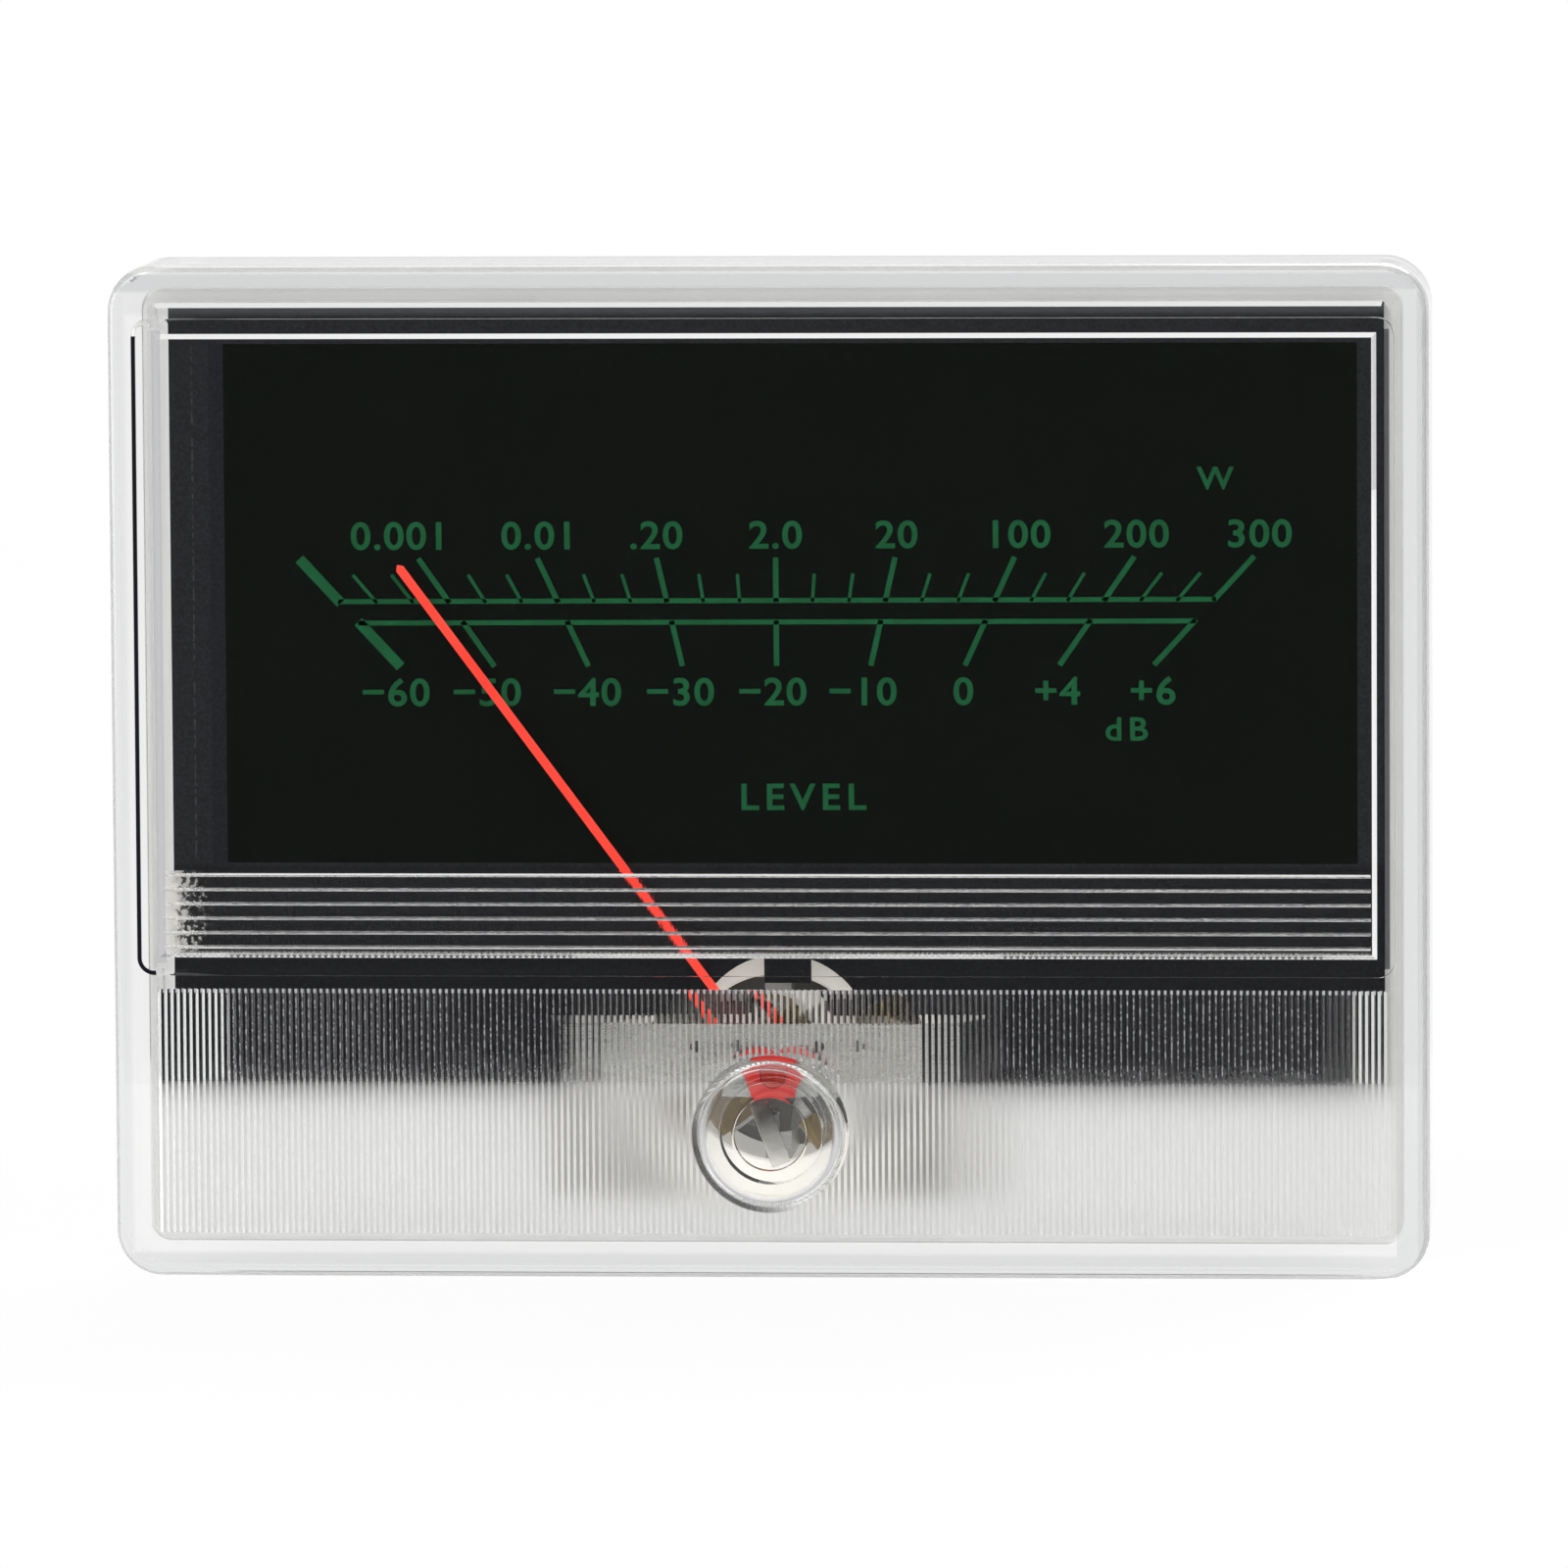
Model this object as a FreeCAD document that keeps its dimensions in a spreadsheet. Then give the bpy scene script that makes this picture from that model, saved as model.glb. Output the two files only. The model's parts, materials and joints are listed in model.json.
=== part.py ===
import FreeCAD, Part
import math
import os
import re
import Sketcher

# Panel level meter with a clear moulded cover, 90 x 69.4 mm bezel.
# Frame: X right, Z up, the face looks along -Y.  The origin is the middle of the bezel's
# back face, the plane y = 0 that seats on the front of an equipment panel.

doc = FreeCAD.newDocument("LevelMeter")
sheet = doc.addObject("Spreadsheet::Sheet", "Dims")

sizes = {
    # clearances
    "run_gap": 0.05,            # radial gap of a turning shaft in its bore
    "seat_gap": 0.10,           # drop-in gap of a seated piece
    # clear cover
    "cover_width": 90.0,
    "cover_height": 69.4,
    "cover_corner": 3.2,
    "cover_edge_round": 0.8,
    "face_wall": 2.0,
    "skirt_wall": 1.8,
    "seat_ledge": 0.85,         # step inside the skirt that the case flange seats on
    "pad_side": 2.3,            # raised window pad on the outside: distances to the cover's edges
    "pad_top": 3.8,
    "pad_foot": 20.8,
    "pad_rise": 0.4,
    "pad_corner": 1.2,
    "window_side": 1.1,         # sharp recess on the inside of the face, in from the pad's edges
    "window_inset": 1.15,
    "window_recess": 0.5,
    "line_pitch": 0.99,         # fine level lines across the foot of the window
    "line_width": 0.24,
    "line_depth": 0.14,
    "line_lift": 0.85,          # lowest line above the foot of the window
    "rib_pitch": 0.43,          # upright prisms over the lower strip
    "rib_depth": 0.16,
    "rib_below": 1.1,           # the strip's top edge below the window pad
    "rib_root": 0.02,
    "rib_margin": 0.25,
    # zero adjuster
    "adjuster_below": 3.7,      # adjuster axis below the pointer axis
    "well_radius": 4.9,
    "well_depth": 1.2,
    "boss_radius": 5.3,
    "boss_length": 1.3,
    "adjuster_shaft": 3.5,
    "adjuster_sink": 0.05,      # head below the face
    "lip_extra": 0.2,
    "lip_length": 0.3,
    "driver_slot": 1.3,
    "driver_depth": 0.7,
    "driver_length": 4.4,
    "dish_radius": 2.45,        # round dish that the driver slot lies in
    "dish_depth": 0.3,
    "driver_turn": 20.0,        # lean of the driver slot from upright, degrees
    "eccentric": 0.9,           # throw of the pin
    "pin_radius": 0.4,
    "pin_length": 0.95,
    # rear case
    "flange_depth": 2.0,
    "flange_corner": 1.5,
    "rim_stand": 0.1,           # cover's rim stands behind the flange, so that the rim takes the panel
    "flange_lip_x": 2.1,
    "flange_lip_z": 1.1,
    "rear_room": 1.0,           # behind the rear bridge
    "body_corner": 3.0,
    "case_wall": 1.6,
    "back_wall": 1.6,
    "back_round": 1.0,
    "apron_thickness": 1.1,     # ledges that close the case's front below the dial
    "apron_above": 0.8,         # behind the dial's lower edge
    "apron_gap": 0.5,           # to the movement frame
    # dial
    "dial_thickness": 0.8,
    "dial_gap": 0.55,           # round the dial inside the cover
    "dial_below": 1.3,          # dial's lower edge below the pointer axis
    "notch_gap": 0.3,           # beside the front bridge's legs
    "notch_above": 3.7,         # above the pointer axis
    "eye_radius": 6.1,          # round window over the hub
    "eye_above": 1.9,
    "eye_shift": 0.4,
    "tab_width": 3.2,
    "tab_length": 2.0,
    "dial_post": 2.0,
    "dial_post_inset": 7.8,
    "dial_post_above": 2.6,
    # pointer and moving coil
    "pivot_rise": 13.6,         # pointer axis above the cover's lower edge
    "pointer_length": 43.4,
    "pointer_width": 0.6,
    "pointer_root": 1.0,
    "shoulder_reach": 5.2,      # from the axis to where the needle is narrow
    "pointer_thickness": 0.2,
    "pointer_lean": 36.5,       # pointer to the left of upright at rest, degrees
    "pointer_height": 0.85,     # gap between pointer and dial
    "hub_radius": 1.3,
    "hub_length": 0.8,
    "hub_behind": 0.35,         # hub's back end behind the needle
    "hub_overlap": 0.2,
    "arm_width": 0.7,
    "tail_length": 6.0,
    "side_arm": 3.1,
    "side_weight_radius": 0.5,
    "side_weight_length": 0.8,
    "tail_weight_radius": 0.9,
    "tail_weight_length": 2.2,
    "core_radius": 4.5,
    "core_length": 7.6,
    "core_front": 0.8,          # core's front end in front of the seating plane
    "coil_gap": 0.25,           # between the core and the coil former
    "coil_end_gap": 0.5,
    "former_wall": 0.25,
    "winding_thickness": 0.9,
    "winding_round": 0.8,
    "coil_width": 3.6,
    "winding_inset": 0.3,
    "pivot_radius": 0.22,
    "pivot_base": 0.8,
    "collet_radius": 0.5,
    "collet_length": 0.4,
    "cup_gap": 0.08,            # pivot to jewel cup
    # hairsprings
    "spring_strip": 0.06,
    "spring_height": 0.3,
    "spring_inner": 0.62,
    "spring_outer": 1.8,
    "spring_turns": 3.0,
    "spring_room": 0.3,         # free height before and behind the rear spring
    # magnet system and its frame
    "ring_inner": 6.4,
    "ring_outer": 9.0,
    "ring_over": 0.2,           # ring past each end of the core
    "web_width": 1.8,
    "frame_half": 13.4,
    "frame_rise": 9.1,          # above the pointer axis
    "frame_fall": 8.7,
    "frame_thickness": 1.2,
    "frame_corner": 1.2,
    "frame_screw_inset": 2.1,   # from the frame's ends
    "frame_screw_z": 6.8,
    "frame_post": 1.9,
    "screw_shank": 0.9,
    "screw_head": 1.6,
    "screw_head_height": 0.8,
    "screw_bite": 2.6,
    "board_bite": 0.95,
    "pilot_gap": 0.15,          # below a screw's tip
    "screw_slot": 0.4,
    # bridges
    "bridge_sheet": 0.5,
    "bridge_right_inset": 2.2,  # right leg, from the frame's end; the left one is flush with it
    "bridge_above": 3.4,        # above the pointer axis
    "bridge_below": 1.5,
    "bridge_ahead": 1.3,        # bridge's front face ahead of the hub
    "face_room": 2.6,           # from the bridge to the inside of the face
    "foot_reach": 3.0,
    "bridge_screw_shank": 0.6,
    "bridge_screw_head": 1.0,
    "rear_bridge_span": 8.8,
    "rear_bridge_half": 1.7,
    "rear_bridge_above": 3.2,
    "rear_foot_drop": 4.6,      # feet's lower end below the pointer axis
    "rear_bridge_gap": 1.7,     # clear height under the rear bridge
    "jewel_barrel": 1.1,
    "jewel_neck": 0.8,
    "jewel_radius": 0.5,
    "jewel_length": 0.35,
    "cup_depth": 0.2,
    "jewel_stand": 0.3,         # rear jewel screw behind its bridge
    "jewel_slot_depth": 0.2,
    "barrel_stand": 0.16,       # front jewel screw's barrel ahead of its bridge
    "neck_stand": 0.08,
    # zero arm
    "arm_sheet": 0.3,
    "arm_gap": 0.08,
    "arm_ring": 1.9,
    "arm_neck": 1.7,            # half width where the tail leaves the ring
    "arm_foot": 1.2,            # half width at the fork
    "fork_overhang": 0.55,
    "fork_gap": 0.15,
    "tang_width": 1.4,
    "tang_thickness": 0.35,
    # pointer stops
    "stop_radius": 0.4,
    "stop_circle": 4.6,
    "stop_angle": 66.0,
    "stop_reach": 0.28,         # past the back of the needle
    # lighting
    "diffuser_thickness": 1.8,
    "diffuser_clear": 1.1,      # above the yoke ring
    "diffuser_post": 1.5,
    "board_side": 10.0,         # board's ends to the sides of the case
    "board_height": 8.0,
    "board_thickness": 1.0,
    "board_below_top": 14.7,
    "lamp_radius": 1.5,
    "lamp_height": 3.4,
    "lamp_inset": 4.0,          # outer lamp to the board's screw
    "board_screw_inset": 3.0,
    "lamp_pin_half": 0.32,
    "lamp_pin_pitch": 2.54,
    "lamp_pin_length": 8.0,
    "header_height": 2.5,
    # terminals
    "stud_radius": 1.5,
    "stud_reach": 11.5,         # stud end behind the back of the case
    "stud_pad_radius": 4.4,     # moulded pad round each stud
    "stud_pad_rise": 0.5,
    "stud_step": 0.3,           # thicker shank through the case and its nut
    "shank_stand": 0.4,         # shank left showing behind the nut
    "stud_spacing": 32.0,
    "stud_height": 3.0,         # stud axis below the origin
    "stud_head": 2.9,
    "stud_head_height": 1.8,
    "washer_radius": 3.6,
    "washer_thickness": 0.5,
    "lug_thickness": 0.5,
    "lug_length": 8.0,
    "lug_width": 3.4,
    "lug_hole": 0.8,
    "nut_flats": 6.0,
    "nut_height": 2.4,
    "plus_size": 3.2,           # moulded polarity mark beside the right-hand stud
    "plus_bar": 0.7,
    "plus_rise": 0.3,
    "plus_offset": 7.0,
}

# sizes that follow from the ones above, in the order they are worked out
derived = {
    "pad_width": "cover_width - 2 * pad_side",
    "pad_height": "cover_height - pad_top - pad_foot",
    "window_width": "pad_width - 2 * window_side",
    "window_height": "pad_height - 2 * window_inset",
    "window_middle": "(pad_foot - pad_top) / 2",
    "rib_top": "cover_height / 2 - pad_foot + rib_below",
    "pivot_drop": "cover_height / 2 - pivot_rise",
    "adjuster_drop": "pivot_drop + adjuster_below",
    "body_width": "cover_width - 2 * (skirt_wall + seat_gap + flange_lip_x)",
    "body_height": "cover_height - 2 * (skirt_wall + seat_gap + flange_lip_z)",
    "dial_width": "cover_width - 2 * (skirt_wall + seat_ledge + dial_gap)",
    "dial_top": "cover_height / 2 - skirt_wall - seat_ledge - dial_gap",
    "dial_foot": "pivot_drop + dial_below",
    "frame_screw_x": "frame_half - frame_screw_inset",
    "bridge_left": "frame_half",
    "bridge_right": "frame_half - bridge_right_inset",
    "notch_left": "bridge_left + notch_gap",
    "notch_right": "bridge_right + notch_gap",
    "notch_top": "pivot_drop - notch_above",
    "eye_drop": "pivot_drop - eye_above",
    "dial_post_span": "dial_width / 2 - dial_post_inset",
    "dial_post_drop": "pivot_drop - dial_post_above",
    "hub_back": "flange_depth + dial_thickness + pointer_height - hub_behind",
    "hub_front": "hub_back + hub_length",
    "bridge_front": "hub_front + bridge_ahead",
    "cover_depth": "bridge_front + face_room + face_wall",
    "ring_front": "core_front + ring_over",
    "ring_length": "core_length + 2 * ring_over",
    "frame_front": "ring_length - ring_front",
    "frame_back": "frame_front + frame_thickness",
    "body_depth": "frame_back + rear_bridge_gap + bridge_sheet + rear_room + back_wall",
    "diffuser_foot": "pivot_drop - ring_outer - diffuser_clear",
    "board_width": "body_width - 2 * board_side",
    "board_height_z": "body_height / 2 - board_below_top",
    "board_screw_x": "board_width / 2 - board_screw_inset",
    "lamp_pitch": "(board_screw_x - lamp_inset) / 1.5",
    "stud_seat": "body_depth + stud_pad_rise",
    "stud_length": "body_depth + stud_reach",
    "shank_radius": "stud_radius + stud_step",
}

cells = {alias: str(value) for alias, value in sizes.items()}
cells.update({alias: "=" + formula for alias, formula in derived.items()})
for row, (alias, cell) in enumerate(cells.items(), start=1):
    sheet.set("A%d" % row, alias)
    sheet.set("B%d" % row, cell)
    sheet.setAlias("B%d" % row, alias)
doc.recompute()


def bound(text):
    """Write the sheet's name in front of every alias in an expression."""
    return re.sub(r"[a-z][a-z_]*", lambda m: "Dims." + m[0] if m[0] in cells else m[0], text)


def size(alias):
    return float(sheet.get(alias))


def bind(item, **links):
    for path, text in links.items():
        item.setExpression(path.replace("__", "."), bound(text))
    return item


def place(item, x="0", y="0", z="0"):
    return bind(item, Placement__Base__x=x, Placement__Base__y=y, Placement__Base__z=z)


# ---------------------------------------------------------------- Part helpers

def block(name, x, y, z):
    """Box from three (low, high) pairs of expressions."""
    item = doc.addObject("Part::Box", name)
    bind(item, Length="(%s) - (%s)" % (x[1], x[0]), Width="(%s) - (%s)" % (y[1], y[0]),
         Height="(%s) - (%s)" % (z[1], z[0]))
    return place(item, x[0], y[0], z[0])


def rod(name, radius, y, x="0", z="0"):
    """Cylinder along Y between a (front, back) pair of expressions."""
    item = doc.addObject("Part::Cylinder", name)
    item.Placement.Rotation = FreeCAD.Rotation(FreeCAD.Vector(1, 0, 0), -90)
    bind(item, Radius=radius, Height="(%s) - (%s)" % (y[1], y[0]))
    return place(item, x, y[0], z)


def hexagon(name, flats, y, x="0", z="0"):
    """Six-sided prism along Y."""
    item = doc.addObject("Part::Prism", name)
    item.Polygon = 6
    item.Placement.Rotation = FreeCAD.Rotation(FreeCAD.Vector(1, 0, 0), -90)
    bind(item, Circumradius="(%s) / sqrt(3)" % flats, Height="(%s) - (%s)" % (y[1], y[0]))
    return place(item, x, y[0], z)


def cut(name, base, *tools):
    tool = tools[0] if len(tools) == 1 else fuse(name + "_tools", *tools)
    item = doc.addObject("Part::Cut", name)
    item.Base = base
    item.Tool = tool
    return item


def fuse(name, *parts):
    item = doc.addObject("Part::MultiFuse", name)
    item.Shapes = list(parts)
    item.Refine = True
    return item


def common(name, *parts):
    item = doc.addObject("Part::MultiCommon", name)
    item.Shapes = list(parts)
    return item


def group(name, *parts):
    """Several separate solids that share one node."""
    item = doc.addObject("Part::Compound", name)
    item.Links = list(parts)
    return item


def node(item, label):
    item.Label = label
    nodes[label] = item
    return item


nodes = {}


# ---------------------------------------------------------- PartDesign helpers

def new_body(label):
    return doc.addObject("PartDesign::Body", label)


def new_sketch(body, name, role, offset="0"):
    plane = [f for f in body.Origin.OriginFeatures if f.Role == role][0]
    sketch = body.newObject("Sketcher::SketchObject", name)
    sketch.AttachmentSupport = [(plane, "")]
    sketch.MapMode = "FlatFace"
    bind(sketch, AttachmentOffset__Base__z=offset)
    return sketch


def tie(sketch, label, text, *what):
    """Add one named dimension and bind it to the sheet."""
    index = sketch.addConstraint(Sketcher.Constraint(*what))
    sketch.renameConstraint(index, label)
    sketch.setExpression("Constraints." + label, bound(text))


def polygon(sketch, corners, tag="p"):
    """Closed outline through corners given as (x, y) pairs of expressions."""
    first = sketch.GeometryCount
    count = len(corners)
    rough = [FreeCAD.Vector(math.cos(2 * math.pi * i / count), math.sin(2 * math.pi * i / count), 0)
             for i in range(count)]
    for i in range(count):
        sketch.addGeometry(Part.LineSegment(rough[i], rough[(i + 1) % count]), False)
    for i in range(count):
        sketch.addConstraint(Sketcher.Constraint("Coincident", first + i, 2, first + (i + 1) % count, 1))
    for i, (x, y) in enumerate(corners):
        tie(sketch, "%sx%d" % (tag, i), x, "DistanceX", -1, 1, first + i, 1, rough[i].x)
        tie(sketch, "%sy%d" % (tag, i), y, "DistanceY", -1, 1, first + i, 1, rough[i].y)


def rectangle(sketch, left, right, low, high, tag="r"):
    polygon(sketch, [(left, low), (right, low), (right, high), (left, high)], tag)


def circle(sketch, radius, x="0", y="0", tag="c"):
    index = sketch.addGeometry(Part.Circle(FreeCAD.Vector(0, 0, 0), FreeCAD.Vector(0, 0, 1), 1.0), False)
    tie(sketch, tag + "r", radius, "Radius", index, 1.0)
    tie(sketch, tag + "x", x, "DistanceX", -1, 1, index, 3, 0.0)
    tie(sketch, tag + "y", y, "DistanceY", -1, 1, index, 3, 0.0)


def pad(body, sketch, name, length, to_back=False):
    """Pad of a sketch on the XZ plane: towards the face, or towards the back."""
    item = body.newObject("PartDesign::Pad", name)
    item.Profile = sketch
    item.Reversed = to_back
    bind(item, Length=length)
    doc.recompute()
    return item


def pocket(body, sketch, name, length, to_front=False):
    """Pocket of a sketch on the XZ plane: towards the back, or towards the face."""
    before = body.Shape.Volume
    item = body.newObject("PartDesign::Pocket", name)
    item.Profile = sketch
    item.Reversed = to_front
    bind(item, Length=length)
    doc.recompute()
    if body.Shape.Volume >= before:
        raise RuntimeError(name + " cuts nothing")
    return item


def edges_where(feature, test):
    return ["Edge%d" % (i + 1) for i, edge in enumerate(feature.Shape.Edges) if test(edge)]


def along_y(edge):
    low, high = edge.Vertexes[0].Point, edge.Vertexes[-1].Point
    return abs(high.x - low.x) < 1e-6 and abs(high.z - low.z) < 1e-6 and abs(high.y - low.y) > 1e-6


def at_y(edge, y):
    return all(abs(v.Y - y) < 1e-6 for v in edge.Vertexes)


def limited(radius, wall):
    """A round's radius, kept a little under the wall that it runs out on."""
    return "min(%s; %s * 0.9)" % (radius, wall)


def fillet(body, feature, name, names, radius):
    item = body.newObject("PartDesign::Fillet", name)
    item.Base = (feature, names)
    bind(item, Radius=radius)
    doc.recompute()
    return item


# ------------------------------------------------------------------ clear cover

inside_width = "(cover_width - 2 * skirt_wall)"
inside_height = "(cover_height - 2 * skirt_wall)"
cavity_width = "(cover_width - 2 * skirt_wall - 2 * seat_ledge)"
cavity_height = "(cover_height - 2 * skirt_wall - 2 * seat_ledge)"
ceiling = "(cover_depth - face_wall)"


line_count = 6


def centred(sketch, width, height, middle="0", tag="r"):
    rectangle(sketch, "-%s / 2" % width, "%s / 2" % width,
              "%s - %s / 2" % (middle, height), "%s + %s / 2" % (middle, height), tag)


def make_front_cover():
    body = new_body("cover_shell")
    outline = new_sketch(body, "cover_outline", "XZ_Plane")
    centred(outline, "cover_width", "cover_height")
    shell = pad(body, outline, "cover_block", "cover_depth")
    shell = fillet(body, shell, "cover_corners", edges_where(shell, along_y), "cover_corner")
    front = -size("cover_depth")
    shell = fillet(body, shell, "cover_edge", edges_where(shell, lambda e: at_y(e, front)),
                   limited("cover_edge_round", "cover_corner"))

    window_pad = new_sketch(body, "window_pad_outline", "XZ_Plane", "cover_depth")
    centred(window_pad, "pad_width", "pad_height", "window_middle")
    raised = pad(body, window_pad, "window_pad", "pad_rise")
    pad_front = front - size("pad_rise")
    corners = edges_where(raised, lambda e: along_y(e) and min(v.Y for v in e.Vertexes) < pad_front + 1e-6)
    fillet(body, raised, "window_pad_corners", corners, "pad_corner")

    seat = new_sketch(body, "seat_outline", "XZ_Plane")
    centred(seat, inside_width, inside_height)
    # the pocket starts at the seating plane and runs towards the face
    seat_cut = pocket(body, seat, "case_seat", "flange_depth", to_front=True)
    depth = -size("flange_depth")
    corners = edges_where(seat_cut,
                          lambda e: along_y(e) and 0 > min(v.Y for v in e.Vertexes) >= depth - 1e-6)
    fillet(body, seat_cut, "case_seat_corners", corners, "cover_corner - skirt_wall")

    cavity = new_sketch(body, "cavity_outline", "XZ_Plane")
    centred(cavity, cavity_width, cavity_height)
    cavity_cut = pocket(body, cavity, "cavity", ceiling, to_front=True)
    deep = -size("cover_depth") + size("face_wall")
    corners = edges_where(cavity_cut,
                          lambda e: along_y(e) and abs(min(v.Y for v in e.Vertexes) - deep) < 1e-6)
    fillet(body, cavity_cut, "cavity_corners", corners, "(cover_corner - skirt_wall) / 2")

    window = new_sketch(body, "window_outline", "XZ_Plane", ceiling)
    centred(window, "window_width", "window_height", "window_middle")
    pocket(body, window, "window_recess_cut", "window_recess", to_front=True)

    boss = new_sketch(body, "adjuster_boss_outline", "XZ_Plane", ceiling)
    circle(boss, "boss_radius", y="-adjuster_drop")
    pad(body, boss, "adjuster_boss", "boss_length", to_back=True)
    bore = new_sketch(body, "adjuster_bore_outline", "XZ_Plane", "cover_depth")
    circle(bore, "adjuster_shaft + run_gap", y="-adjuster_drop")
    pocket(body, bore, "adjuster_bore", "face_wall + boss_length")
    well = new_sketch(body, "adjuster_well_outline", "XZ_Plane", "cover_depth")
    circle(well, "well_radius", y="-adjuster_drop")
    pocket(body, well, "adjuster_well", "well_depth")

    # fine level lines: one groove across the window, repeated upwards
    groove = new_sketch(body, "level_line_outline", "YZ_Plane")
    floor_y = "-(%s + window_recess)" % ceiling
    foot = "(window_middle - window_height / 2 + line_lift)"
    polygon(groove, [(floor_y, foot + " - line_width / 2"), (floor_y + " - line_depth", foot),
                     (floor_y, foot + " + line_width / 2"), (floor_y + " + line_depth", foot)])
    before = body.Shape.Volume
    line = body.newObject("PartDesign::Pocket", "level_line")
    line.Profile = groove
    line.SideType = "Symmetric"
    bind(line, Length="window_width - 2 * seat_gap")
    doc.recompute()
    lines = body.newObject("PartDesign::LinearPattern", "level_lines")
    lines.Originals = [line]
    lines.Direction = (groove, ["V_Axis"])
    lines.Occurrences = line_count
    bind(lines, Length="%d * line_pitch" % (line_count - 1))
    body.Tip = lines
    doc.recompute()
    if body.Shape.Volume >= before:
        raise RuntimeError("the level lines cut nothing")

    item = cut("front_cover_cut", body, make_rib_cutter())
    return node(item, "front_cover")


def make_rib_cutter():
    """Toothed bar that leaves the upright prisms on the inside of the face."""
    half = (size("cover_width") / 2 - size("skirt_wall") - size("seat_ledge") - size("rib_margin"))
    count = int(2 * half / size("rib_pitch"))
    step = 2 * half / count
    roof = -(size("cover_depth") - size("face_wall"))
    shallow = roof - size("rib_root")
    deep = shallow - size("rib_depth")
    bottom = -(size("cover_height") / 2 - size("skirt_wall") - size("seat_ledge") - size("rib_margin"))
    top = -size("rib_top")
    points = [FreeCAD.Vector(half, roof + size("rib_depth"), bottom),
              FreeCAD.Vector(-half, roof + size("rib_depth"), bottom)]
    for i in range(count):
        points.append(FreeCAD.Vector(-half + i * step, shallow, bottom))
        points.append(FreeCAD.Vector(-half + (i + 0.5) * step, deep, bottom))
    points.append(FreeCAD.Vector(half, shallow, bottom))
    points.append(points[0])
    bar = Part.Face(Part.makePolygon(points)).extrude(FreeCAD.Vector(0, 0, top - bottom))
    guard = Part.makeCylinder(size("boss_radius") + size("run_gap"), size("cover_depth"),
                              FreeCAD.Vector(0, -size("cover_depth"), -size("adjuster_drop")),
                              FreeCAD.Vector(0, 1, 0))
    item = doc.addObject("Part::Feature", "rib_cutter")
    item.Shape = bar.cut(guard)
    return item


# ---------------------------------------------------------------- zero adjuster

head_front = "-(cover_depth - adjuster_sink)"
head_back = "-(cover_depth - well_depth) - adjuster_sink"
lip_front = "(-(%s - boss_length) + adjuster_sink)" % ceiling
lip_back = "(%s + lip_length)" % lip_front


def make_zero_adjuster():
    axis = "-adjuster_drop"
    head = rod("adjuster_head", "well_radius - run_gap", (head_front, head_back), z=axis)
    shaft = rod("adjuster_body", "adjuster_shaft", (head_front, lip_back), z=axis)
    lip = rod("adjuster_lip", "adjuster_shaft + lip_extra", (lip_front, lip_back), z=axis)
    pin = rod("adjuster_pin", "pin_radius", (lip_front, lip_back + " + pin_length"),
              z=axis + " + eccentric")
    turned = fuse("adjuster_turned", head, shaft, lip, pin)
    slot = doc.addObject("Part::Box", "driver_slot_tool")
    bind(slot, Length="driver_slot", Width="driver_depth + adjuster_sink", Height="driver_length")
    lean = FreeCAD.Rotation(FreeCAD.Vector(0, 1, 0), -size("driver_turn"))
    corner = lean.multVec(FreeCAD.Vector(-size("driver_slot") / 2, 0, -size("driver_length") / 2))
    slot.Placement = FreeCAD.Placement(
        FreeCAD.Vector(corner.x, -size("cover_depth"), corner.z - size("adjuster_drop")), lean)
    dish = rod("adjuster_dish", "dish_radius", (head_front, head_front + " + dish_depth"), z=axis)
    return node(cut("adjuster_slotted", turned, slot, dish), "zero_adjuster")


# -------------------------------------------------------------------- rear case

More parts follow.
